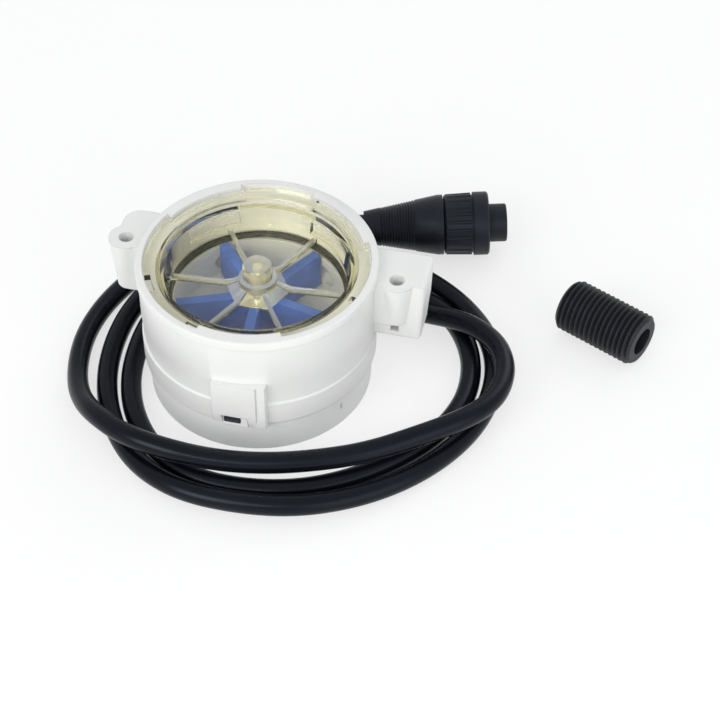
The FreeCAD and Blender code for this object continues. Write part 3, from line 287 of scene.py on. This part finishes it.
@shared
def turned_lines(name):
    """Fine parallel rings across a direction, of uneven strength, as turning or brushing leaves."""
    group, given, result = effect(
        name,
        [("Direction", ARROW, (0, 0, 1)), ("Pitch", NUMBER, 0.0004), ("Unevenness", NUMBER, 0.5)],
        [("Height", NUMBER), ("Mask", NUMBER)])
    place = node(group, "ShaderNodeTexCoord").outputs["Object"]
    along = node(group, "ShaderNodeVectorMath", {0: place, 1: given.outputs["Direction"]},
                 operation="DOT_PRODUCT").outputs["Value"]
    turns = calculated(group, "DIVIDE", along, given.outputs["Pitch"])
    streaks = node(group, "ShaderNodeTexNoise", {
        "W": turns, "Scale": 1.0, "Detail": 6.0, "Roughness": 0.75},
        noise_dimensions="1D").outputs["Fac"]
    rings = calculated(group, "PINGPONG", turns, 1.0)
    blend = node(group, "ShaderNodeMix", {
        0: given.outputs["Unevenness"], 2: rings, 3: streaks}, data_type="FLOAT").outputs[0]
    link(group, result, {"Height": blend, "Mask": streaks})
    return group


@shared
def fine_specks(name):
    """A mask of small scattered specks, for dust on dark parts and fibres in filled plastic."""
    group, given, result = effect(
        name, [("Scale", NUMBER, 900.0), ("Amount", NUMBER, 0.3)], [("Mask", NUMBER)])
    place = node(group, "ShaderNodeTexCoord").outputs["Object"]
    cells = node(group, "ShaderNodeTexVoronoi", {"Vector": place, "Scale": given.outputs["Scale"]})
    patches = node(group, "ShaderNodeTexNoise", {"Vector": place, "Scale": 90.0, "Detail": 3.0})
    size = calculated(group, "MULTIPLY", patches.outputs["Fac"], given.outputs["Amount"])
    link(group, result, {"Mask": calculated(group, "LESS_THAN", cells.outputs["Distance"], size)})
    return group


@shared
def inner_relief(name):
    """A mask of what stands up inside the lens (the ribs, the boss and the knob), where the lens's
    painted light goes.
    """
    group, given, result = effect(
        name, [("Foot", NUMBER, 0.027), ("Reach", NUMBER, 0.02)], [("Mask", NUMBER)])
    place = node(group, "ShaderNodeTexCoord").outputs["Object"]
    height = node(group, "ShaderNodeSeparateXYZ", {0: place}).outputs["Z"]
    flat = node(group, "ShaderNodeVectorMath", {0: place, 1: (1, 1, 0)}, operation="MULTIPLY")
    radius = node(group, "ShaderNodeVectorMath", {0: flat.outputs["Vector"]}, operation="LENGTH")
    above = calculated(group, "GREATER_THAN", height, given.outputs["Foot"])
    within = calculated(group, "LESS_THAN", radius.outputs["Value"], given.outputs["Reach"])
    link(group, result, {"Mask": calculated(group, "MULTIPLY", above, within)})
    return group


def new_material(name):
    """A material with one Principled shader, and its node tree."""
    material = bpy.data.materials.new(name)
    material.use_nodes = True
    tree = material.node_tree
    tree.nodes.clear()
    output = node(tree, "ShaderNodeOutputMaterial")
    shader = node(tree, "ShaderNodeBsdfPrincipled")
    link(tree, output, {"Surface": shader.outputs["BSDF"]})
    return material, tree, shader, output


def placed(tree, group, sockets=()):
    """One of the shared effects in a material."""
    return node(tree, "ShaderNodeGroup", sockets, node_tree=group)


def solid(colour):
    """A colour in the four values that a colour socket takes."""
    return (*colour, 1.0)


def toned(colour, share):
    """A colour in another brightness: darker with a share under one, lighter over it."""
    return tuple(channel * share for channel in colour)


def coat(tree, shader, tone, gloss, height, strength, depth):
    """Give a shader its tone and gloss, and a bump whose depth is in millimetres."""
    bump = node(tree, "ShaderNodeBump", {
        "Height": height, "Strength": strength, "Distance": depth * MM})
    link(tree, shader, {"Base Color": tone, "Roughness": gloss, "Normal": bump.outputs["Normal"]})
    return bump


def moulded(name, colour, shade, roughness=0.35, spread=0.12, mottle=70.0, grain=1800.0,
            depth=0.02, edge=0.0, lines=None, specks=None, **sockets):
    """A plastic or rubber finish: tone, gloss and grain, and lines or specks where asked.

    The grain's depth is in millimetres and the radius of soft edges in metres. Lines are a
    direction, a pitch and a weight, and specks a scale, an amount and a colour. Other sockets of
    the shader go by name, with underscores for spaces.
    """
    material, tree, shader, _ = new_material(name)
    surface = placed(tree, moulded_surface(), {
        "Colour": solid(colour), "Shade": solid(shade), "Mottle Scale": mottle,
        "Grain Scale": grain, "Roughness": roughness, "Spread": spread})
    tone = surface.outputs["Colour"]
    height = surface.outputs["Height"]
    if specks:
        scale, amount, speck = specks
        dots = placed(tree, fine_specks(), {"Scale": scale, "Amount": amount})
        tone = mixed(tree, dots.outputs["Mask"], tone, solid(speck))
    if lines:
        direction, pitch, weight = lines
        rings = placed(tree, turned_lines(), {"Direction": tuple(direction), "Pitch": pitch})
        height = calculated(tree, "MULTIPLY_ADD", rings.outputs["Height"], weight, height)
    bump = coat(tree, shader, tone, surface.outputs["Roughness"], height, strength=0.5,
                depth=depth)
    if edge:
        soft = node(tree, "ShaderNodeBevel", {"Radius": edge}, samples=4)
        link(tree, bump, {"Normal": soft.outputs["Normal"]})
    for socket, value in sockets.items():
        shader.inputs[socket.replace("_", " ")].default_value = value
    return material


def turned_metal(name, colour, direction, roughness, pitch):
    """Bare metal with fine marks across a direction."""
    material, tree, shader, _ = new_material(name)
    marks = placed(tree, turned_lines(), {
        "Direction": tuple(direction), "Pitch": pitch, "Unevenness": 0.8})
    mask = marks.outputs["Mask"]
    tone = mixed(tree, mask, solid(colour), solid(toned(colour, 0.8)))
    gloss = calculated(tree, "MULTIPLY_ADD", mask, 0.15, roughness)
    coat(tree, shader, tone, gloss, marks.outputs["Height"], strength=0.4, depth=0.01)
    shader.inputs["Metallic"].default_value = 1.0
    return material


def clear_lens(name, tint, foot, reach):
    """Clear amber moulded plastic, deeper in colour where it is thick, with painted light in its
    ribs and knob: a hazy straw tone for the light they catch.
    """
    material, tree, shader, output = new_material(name)
    surface = placed(tree, moulded_surface(), {
        "Colour": LENS_TONE, "Shade": LENS_SHADE, "Mottle Scale": 45.0, "Grain Scale": 500.0,
        "Roughness": 0.0, "Spread": 0.07})
    relief = placed(tree, inner_relief(), {"Foot": foot, "Reach": reach}).outputs["Mask"]
    # Painted light: the ribs and knob take a hazy straw tone that stands in for the light they catch
    tone = mixed(tree, relief, surface.outputs["Colour"], LENS_RIB_PAINTED_LIGHT)
    gloss = calculated(tree, "MULTIPLY_ADD", relief, 0.06, surface.outputs["Roughness"])
    coat(tree, shader, tone, gloss, surface.outputs["Height"], strength=0.25, depth=0.012)
    clear = node(tree, "ShaderNodeMapRange", {
        "Value": relief, "To Min": LENS_CLEAR, "To Max": LENS_PAINTED_HAZE})
    link(tree, shader, {"Transmission Weight": clear.outputs["Result"]})
    shader.inputs["IOR"].default_value = LENS_IOR
    shader.inputs["Specular IOR Level"].default_value = 0.3
    path = node(tree, "ShaderNodeLightPath")
    through = node(tree, "ShaderNodeBsdfTransparent", {"Color": LENS_SHADOW})
    both = node(tree, "ShaderNodeMixShader", {
        0: path.outputs["Is Shadow Ray"], 1: shader.outputs["BSDF"], 2: through.outputs["BSDF"]})
    inside = node(tree, "ShaderNodeVolumeAbsorption", {
        "Color": solid(tint), "Density": LENS_DENSITY})
    link(tree, output, {"Surface": both.outputs["Shader"], "Volume": inside.outputs["Volume"]})
    return material


def board_finish(name):
    """Green lacquer over copper tracks, with the tracks a little raised."""
    material, tree, shader, _ = new_material(name)
    place = node(tree, "ShaderNodeTexCoord").outputs["Object"]
    tracks = node(tree, "ShaderNodeTexBrick", {
        "Vector": place, "Scale": 260.0, "Mortar Size": 0.03,
        "Color1": (0.012, 0.13, 0.035, 1), "Color2": (0.010, 0.11, 0.030, 1),
        "Mortar": (0.03, 0.24, 0.06, 1)})
    surface = placed(tree, moulded_surface(), {
        "Colour": (1, 1, 1, 1), "Shade": (0.8, 0.8, 0.8, 1), "Roughness": 0.2, "Spread": 0.15})
    tone = mixed(tree, 1.0, tracks.outputs["Color"], surface.outputs["Colour"],
                 blend_type="MULTIPLY")
    coat(tree, shader, tone, surface.outputs["Roughness"], tracks.outputs["Fac"], strength=0.6,
         depth=0.035)
    return material


def wire_finish(name):
    """Lead insulation: each of the three leads has its own colour, by its place along X."""
    material, tree, shader, _ = new_material(name)
    place = node(tree, "ShaderNodeTexCoord").outputs["Object"]
    across = node(tree, "ShaderNodeSeparateXYZ", {0: place}).outputs["X"]
    share = node(tree, "ShaderNodeMapRange", {
        "Value": across, "From Min": 1.0 * MM, "From Max": 7.0 * MM})
    colours = node(tree, "ShaderNodeValToRGB", {"Fac": share.outputs["Result"]})
    ramp = colours.color_ramp
    ramp.interpolation = "CONSTANT"
    ramp.elements[0].color = (0.01, 0.01, 0.01, 1)
    ramp.elements[1].position = 0.35
    ramp.elements[1].color = (0.45, 0.02, 0.015, 1)
    ramp.elements.new(0.65).color = (0.02, 0.20, 0.05, 1)
    surface = placed(tree, moulded_surface(), {"Roughness": 0.35, "Spread": 0.1})
    coat(tree, shader, colours.outputs["Color"], surface.outputs["Roughness"],
         surface.outputs["Height"], strength=0.3, depth=0.01)
    return material


def select_only(piece):
    """Make one object the only selected and the active one."""
    bpy.ops.object.select_all(action="DESELECT")
    piece.select_set(True)
    bpy.context.view_layer.objects.active = piece


def in_edit_mode(piece, *steps):
    """Run mesh steps on the whole of one piece, as by hand in edit mode."""
    select_only(piece)
    bpy.ops.object.mode_set(mode="EDIT")
    bpy.ops.mesh.select_all(action="SELECT")
    for step in steps:
        step()
    bpy.ops.object.mode_set(mode="OBJECT")


def give(piece, material):
    """Put one material on a piece."""
    piece.data.materials.clear()
    piece.data.materials.append(material)


def smoothed(piece, crease):
    """Smooth the faces, and keep the edges sharp that turn by more than the crease in degrees."""
    select_only(piece)
    bpy.ops.object.shade_smooth_by_angle(angle=math.radians(crease))


def rounded(piece, width):
    """Soften a piece's sharp edges by a width."""
    select_only(piece)
    bevel = piece.modifiers.new("Softness", "BEVEL")
    bevel.width = width
    bevel.segments = 2
    bevel.limit_method = "ANGLE"
    bevel.angle_limit = SOFTENED_ANGLE
    bevel.miter_outer = "MITER_ARC"
    bpy.ops.object.modifier_apply(modifier=bevel.name)


def finished_copy(part, name, material, softness=0.0, crease=32.0):
    """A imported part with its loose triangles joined, its edges softened and its faces smoothed."""
    source = frame["nodes"][part]
    piece = bpy.data.objects.new(name, source.data.copy())
    bpy.context.scene.collection.objects.link(piece)
    in_edit_mode(
        piece,
        lambda: bpy.ops.mesh.remove_doubles(threshold=WELD_DISTANCE),
        lambda: bpy.ops.mesh.dissolve_limited(angle_limit=FLAT_ANGLE))
    select_only(piece)
    if piece.data.has_custom_normals:
        bpy.ops.mesh.customdata_custom_splitnormals_clear()
    if softness:
        rounded(piece, softness)
    smoothed(piece, crease)
    give(piece, material)
    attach(piece, source["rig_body"])
    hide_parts(part)
    return piece


# The pieces


class FLOWSENSOR_OT_stage(bpy.types.Operator):
    """Add the pale floor, the soft lights, the surroundings and the camera"""
    bl_idname = "flowsensor.stage"
    bl_label = "Stage"

    def execute(self, context):
        scene = context.scene
        scene.view_settings.view_transform = "Standard"
        self.add_camera(scene)
        self.add_floor()
        self.add_surroundings(scene)
        for light in LIGHTS:
            self.add_light(scene, *light)
        return {"FINISHED"}

    def add_camera(self, scene):
        """Stand the camera at the photograph's place, turned as it was there."""
        look = Vector((-math.sin(VIEW_AZIMUTH) * math.cos(VIEW_ELEVATION),
                       math.cos(VIEW_AZIMUTH) * math.cos(VIEW_ELEVATION),
                       -math.sin(VIEW_ELEVATION)))
        level = Vector((math.cos(VIEW_AZIMUTH), math.sin(VIEW_AZIMUTH), 0.0))
        upright = level.cross(look)
        right = math.cos(VIEW_ROLL) * level + math.sin(VIEW_ROLL) * upright
        up = math.cos(VIEW_ROLL) * upright - math.sin(VIEW_ROLL) * level
        data = bpy.data.cameras.new("view")
        data.lens = VIEW_LENS
        data.sensor_width = VIEW_SENSOR
        data.clip_start = VIEW_NEAREST
        camera = bpy.data.objects.new("view", data)
        camera.matrix_world = Matrix.Translation(VIEW_PLACE) @ Matrix(
            (right, up, -look)).transposed().to_4x4()
        scene.collection.objects.link(camera)
        scene.camera = camera

    def add_floor(self):
        """Lay the pale floor just under the pieces."""
        bpy.ops.mesh.primitive_plane_add(size=FLOOR_SIZE, location=(0, 0, -FLOOR_DROP))
        floor = bpy.context.active_object
        floor.name = "studio_floor"
        material, tree, shader, output = new_material("floor_white")
        shader.inputs["Base Color"].default_value = FLOOR_COLOUR
        shader.inputs["Roughness"].default_value = 0.9
        shader.inputs["Specular IOR Level"].default_value = 0.1
        path = node(tree, "ShaderNodeLightPath")
        seen = calculated(tree, "MAXIMUM", path.outputs["Is Camera Ray"],
                          path.outputs["Is Glossy Ray"])
        share = calculated(tree, "MULTIPLY", seen, FLOOR_GLOW_SHARE)
        white = node(tree, "ShaderNodeEmission", {"Color": (1, 1, 1, 1), "Strength": FLOOR_GLOW})
        both = node(tree, "ShaderNodeMixShader", {
            0: share, 1: shader.outputs["BSDF"], 2: white.outputs["Emission"]})
        link(tree, output, {"Surface": both.outputs["Shader"]})
        floor.data.materials.append(material)

    def add_surroundings(self, scene):
        """Put the even, pale surroundings round the stage."""
        world = bpy.data.worlds.new("studio")
        scene.world = world
        world.use_nodes = True
        tree = world.node_tree
        tree.nodes.clear()
        output = node(tree, "ShaderNodeOutputWorld")
        path = node(tree, "ShaderNodeLightPath")
        strength = node(tree, "ShaderNodeMapRange", {
            "Value": path.outputs["Is Camera Ray"], "To Min": SKY_LIGHT, "To Max": SKY_SEEN})
        sky = node(tree, "ShaderNodeBackground", {
            "Color": SKY_COLOUR, "Strength": strength.outputs["Result"]})
        link(tree, output, {"Surface": sky.outputs["Background"]})

    def add_light(self, scene, name, place, size, power):
        """Hang one soft square light and aim it at the sensor."""
        data = bpy.data.lights.new(name, "AREA")
        data.size = size
        data.energy = power
        light = bpy.data.objects.new(name, data)
        place = Vector(place)
        aim = (LIGHT_AIM - place).to_track_quat("-Z", "Y")
        light.matrix_world = Matrix.Translation(place) @ aim.to_matrix().to_4x4()
        scene.collection.objects.link(light)


class FLOWSENSOR_OT_body(bpy.types.Operator):
    """Finish the white body, its rear cover and the black latch plug"""
    bl_idname = "flowsensor.body"
    bl_label = "Body and Cover"

    def execute(self, context):
        sizes = context.scene.flow_sensor_sizes
        colours = context.scene.flow_sensor_colours
        soft = 2 * sizes.edge_softness
        white = moulded("body_white", colours.body, toned(colours.body, 0.965), roughness=0.30,
                        spread=0.14, mottle=48.0, grain=2200.0, depth=0.018, edge=soft)
        # Painted light: the cover's white is lighter than the body's, to make up for the shade under
        # the skirt
        lightened_white = moulded("cover_white", colours.cover, toned(colours.cover, 0.95), roughness=0.36,
                         spread=0.14, mottle=60.0, grain=2400.0, depth=0.022, edge=soft)
        black = moulded("latch_black", colours.plug, toned(colours.plug, 0.7), roughness=0.4)
        finished_copy("body_housing", "body_moulding", white)
        finished_copy("rear_cover", "rear_cover_moulding", lightened_white)
        finished_copy("latch_plug", "latch_plug_black", black,
                      softness=sizes.edge_softness)
        return {"FINISHED"}


class FLOWSENSOR_OT_lens(bpy.types.Operator):
    """Finish the clear amber window lens and the seal ring under it"""
    bl_idname = "flowsensor.lens"
    bl_label = "Window Lens"

    def execute(self, context):
        sizes = context.scene.flow_sensor_sizes
        colours = context.scene.flow_sensor_colours
        plate_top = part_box("window_lens")[0].z + sizes.lens_plate
        ribs_foot = plate_top + 0.1 * MM
        amber = clear_lens("lens_amber", colours.lens, ribs_foot, sizes.lens_ribs)
        rubber = moulded("seal_rubber", toned(colours.rubber, 0.35), toned(colours.rubber, 0.2),
                         roughness=0.4, spread=0.2, depth=0.02, Specular_IOR_Level=0.12)
        finished_copy("window_lens", "window_lens_clear", amber)
        finished_copy("window_seal_ring", "seal_ring_black", rubber, crease=60.0)
        return {"FINISHED"}


class FLOWSENSOR_OT_rotor(bpy.types.Operator):
    """Finish the blue paddle wheel, its magnets and its steel pin"""
    bl_idname = "flowsensor.rotor"
    bl_label = "Paddle Wheel"

    def execute(self, context):
        sizes = context.scene.flow_sensor_sizes
        colours = context.scene.flow_sensor_colours
        # Painted light: the blue is brighter than the plastic's own, for the light that does not
        # reach into the chamber
        blue = moulded("rotor_blue", colours.rotor, toned(colours.rotor, 0.72), roughness=0.34,
                       spread=0.2, mottle=160.0, grain=1500.0, depth=0.03,
                       lines=((0.4, 0.9, 0.1), 0.45 * MM, 0.8))
        steel = turned_metal("pin_ground_steel", (0.78, 0.77, 0.75), (0, 0, 1), roughness=0.12,
                             pitch=0.15 * MM)
        plated = turned_metal("magnet_plating", (0.62, 0.62, 0.64), (0, 0, 1), roughness=0.2,
                              pitch=0.2 * MM)
        finished_copy("rotor", "paddle_wheel_blue", blue,
                      softness=sizes.edge_softness)
        finished_copy("rotor_pin", "rotor_pin_steel", steel)
        finished_copy("rotor_magnets", "rotor_magnet_rods", plated)
        return {"FINISHED"}


class FLOWSENSOR_OT_electronics(bpy.types.Operator):
    """Give the board, the sensor, the parts and the leads inside the cover their finishes"""
    bl_idname = "flowsensor.electronics"
    bl_label = "Sensing Board"

    def execute(self, context):
        nodes = frame["nodes"]
        chips = moulded("chip_black", (0.02, 0.02, 0.021), (0.012, 0.012, 0.013), roughness=0.5,
                        grain=3000.0, specks=(2500.0, 0.2, (0.05, 0.05, 0.05)))
        give(nodes["circuit_board"], board_finish("board_lacquer"))
        give(nodes["hall_sensor"], chips)
        give(nodes["board_components"], chips)
        give(nodes["lead_wires"], wire_finish("lead_insulation"))
        return {"FINISHED"}


class FLOWSENSOR_OT_plug(bpy.types.Operator):
    """Finish the round plug on the cable's end: bushing, backshell, nut, nose and contacts"""
    bl_idname = "flowsensor.plug"
    bl_label = "Plug"

    def execute(self, context):
        sizes = context.scene.flow_sensor_sizes
        colours = context.scene.flow_sensor_colours
        dark = colours.plug
        satin = moulded("plug_black", dark, toned(dark, 0.65), roughness=0.36, spread=0.18,
                        mottle=120.0, depth=0.03, specks=(1400.0, 0.10, (0.04, 0.04, 0.05)),
                        Specular_IOR_Level=0.35, Specular_Tint=COOL_SHEEN)
        ringed = moulded("backshell_black", dark, toned(dark, 0.65), roughness=0.34, spread=0.16,
                         mottle=120.0, depth=0.03, lines=(PLUG_HEADING, 0.28 * MM, 1.5),
                         Specular_IOR_Level=0.35, Specular_Tint=COOL_SHEEN)
        rubber = moulded("boot_rubber", colours.rubber, toned(colours.rubber, 0.6),
                         roughness=0.5, spread=0.15, depth=0.03)
        gold = turned_metal("contact_gold", (0.86, 0.62, 0.24), PLUG_HEADING, roughness=0.16,
                            pitch=0.1 * MM)
        insert = moulded("insert_black", toned(dark, 1.4), dark, roughness=0.45)
        finished_copy("connector_tail_bushing", "plug_tail_bushing", rubber)
        finished_copy("connector_backshell", "plug_backshell", ringed)
        finished_copy("coupling_nut", "plug_coupling_nut", satin)
        finished_copy("connector_shell", "plug_nose", satin)
        finished_copy("connector_gasket", "plug_gasket", rubber)
        finished_copy("contact_insert", "plug_contact_insert", insert)
        finished_copy("connector_contacts", "plug_contacts", gold,
                      softness=sizes.edge_softness / 2)
        return {"FINISHED"}


class FLOWSENSOR_OT_cable(bpy.types.Operator):
    """Lay the black cable from its strain relief round the sensor to the plug"""
    bl_idname = "flowsensor.cable"
    bl_label = "Cable"

    def execute(self, context):
        sizes = context.scene.flow_sensor_sizes
        colours = context.scene.flow_sensor_colours
        curve = bpy.data.curves.new("cable_line", "CURVE")
        curve.dimensions = "3D"
        spline = curve.splines.new("NURBS")
        spline.points.add(len(CABLE_ROUTE) - 1)
        for point, place in zip(spline.points, CABLE_ROUTE):
            point.co = (*(Vector(place) * MM), 1.0)
        spline.order_u = 3
        spline.use_endpoint_u = True
        spline.resolution_u = 10
        curve.bevel_depth = sizes.cable_diameter / 2
        curve.bevel_resolution = 6
        curve.use_fill_caps = True
        cable = bpy.data.objects.new("cable_black", curve)
        context.scene.collection.objects.link(cable)
        jacket = moulded("cable_jacket", colours.cable, toned(colours.cable, 1.5), roughness=0.20,
                         spread=0.14, mottle=40.0, grain=1600.0, depth=0.03,
                         specks=(700.0, 0.07, (0.05, 0.05, 0.06)), Specular_IOR_Level=0.22,
                         Specular_Tint=COOL_SHEEN)
        give(cable, jacket)
        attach(cable, "root")
        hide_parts("sensor_cable")
        relief = moulded("relief_rubber", colours.rubber, toned(colours.rubber, 0.6),
                         roughness=0.42, spread=0.16, depth=0.03)
        finished_copy("cable_strain_relief", "strain_relief_boot", relief)
        return {"FINISHED"}


class FLOWSENSOR_OT_nipple(bpy.types.Operator):
    """Model the loose pipe nipple with its helical thread"""
    bl_idname = "flowsensor.nipple"
    bl_label = "Pipe Nipple"
    rows_per_turn = 10
    # The bore's rows: one at the near end, one at the far end, and back to the first
    bore_rows = 3
    # The cut in the middle of a groove, where one is the full depth, and its fall over a turn
    cut_middle = 1.1
    cut_fall = 2.6

    def execute(self, context):
        sizes = context.scene.flow_sensor_sizes
        colours = context.scene.flow_sensor_colours
        low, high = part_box("port_nipple")
        outside = (high.z - low.z) / 2
        thread = mount("nipple_thread")
        axis = Vector(thread["axis"])
        middle = Vector(thread["pos_m"])
        length = thread["dims"]["length_mm"] * MM + 2 * sizes.nipple_bevel
        last = (math.ceil((length / sizes.thread_pitch + 1) * self.rows_per_turn)
                + self.bore_rows)
        bpy.ops.object.select_all(action="DESELECT")
        bpy.ops.mesh.primitive_grid_add(x_subdivisions=sizes.thread_sides,
                                        y_subdivisions=last, size=2.0)
        piece = bpy.context.active_object
        piece.name = "threaded_nipple"
        for corner in piece.data.vertices:
            across, along, _ = corner.co
            corner.co = self.on_thread(sizes, outside, length, last, (across + 1) * math.pi,
                                       round((along + 1) / 2 * last))
        in_edit_mode(piece, lambda: bpy.ops.mesh.remove_doubles(threshold=WELD_DISTANCE),
                     lambda: bpy.ops.mesh.normals_make_consistent(inside=False))
        stand = axis.to_track_quat("Z", "Y").to_matrix().to_4x4()
        piece.data.transform(Matrix.Translation(middle) @ stand)
        smoothed(piece, 28.0)
        filled = moulded("nipple_filled_plastic", colours.nipple, toned(colours.nipple, 0.7),
                         roughness=0.42, spread=0.2, mottle=180.0, grain=1500.0, depth=0.05,
                         specks=(1100.0, 0.14, (0.07, 0.08, 0.09)), Specular_IOR_Level=0.4)
        give(piece, filled)
        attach(piece, "root")
        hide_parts("port_nipple")
        return {"FINISHED"}

    def on_thread(self, sizes, outside, length, last, angle, row):
        """A point of the nipple: rows run over one end, the thread, the other end and the bore."""
        if row in (0, last - 1, last):
            radius = sizes.nipple_bore
            along = length if row == last - 1 else 0.0
        else:
            turns = (row - 1) / self.rows_per_turn
            along = (turns - 1 + angle / (2 * math.pi)) * sizes.thread_pitch
            along = min(length, max(0.0, along))
            cut = self.cut_middle - self.cut_fall * abs(turns % 1.0 - 0.5)
            groove = sizes.thread_depth * min(1.0, max(0.0, cut))
            bevel = sizes.nipple_bevel - min(along, length - along)
            radius = outside - max(groove, bevel)
        return (radius * math.cos(angle), radius * math.sin(angle), along - length / 2)


class FLOWSENSOR_PT_sidebar(bpy.types.Panel):
    """The sensor's sizes and colours, and a button for each step"""
    bl_idname = "FLOWSENSOR_PT_sidebar"
    bl_label = "Flow Sensor"
    bl_space_type = "VIEW_3D"
    bl_region_type = "UI"
    bl_category = "Flow Sensor"

    def draw(self, context):
        for group in (context.scene.flow_sensor_sizes, context.scene.flow_sensor_colours):
            box = self.layout.box()
            for setting in group.__annotations__:
                box.prop(group, setting)
        for step in STEPS:
            self.layout.operator(step.bl_idname)


# In the order that they run
STEPS = (
    FLOWSENSOR_OT_stage,
    FLOWSENSOR_OT_plug,
    FLOWSENSOR_OT_cable,
    FLOWSENSOR_OT_body,
    FLOWSENSOR_OT_lens,
    FLOWSENSOR_OT_rotor,
    FLOWSENSOR_OT_electronics,
    FLOWSENSOR_OT_nipple,
)
CLASSES = (FlowSensorSizes, FlowSensorColours, *STEPS, FLOWSENSOR_PT_sidebar)


def register():
    """Add the classes, and the two groups of settings to the scene."""
    for item in CLASSES:
        bpy.utils.register_class(item)
    bpy.types.Scene.flow_sensor_sizes = PointerProperty(type=FlowSensorSizes)
    bpy.types.Scene.flow_sensor_colours = PointerProperty(type=FlowSensorColours)


def unregister():
    """Take the settings and the classes out again."""
    del bpy.types.Scene.flow_sensor_colours
    del bpy.types.Scene.flow_sensor_sizes
    for item in reversed(CLASSES):
        bpy.utils.unregister_class(item)


def main():
    """Register the add-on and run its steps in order."""
    register()
    for step in STEPS:
        group, name = step.bl_idname.split(".")
        getattr(getattr(bpy.ops, group), name)()


if __name__ == "__main__":
    main()
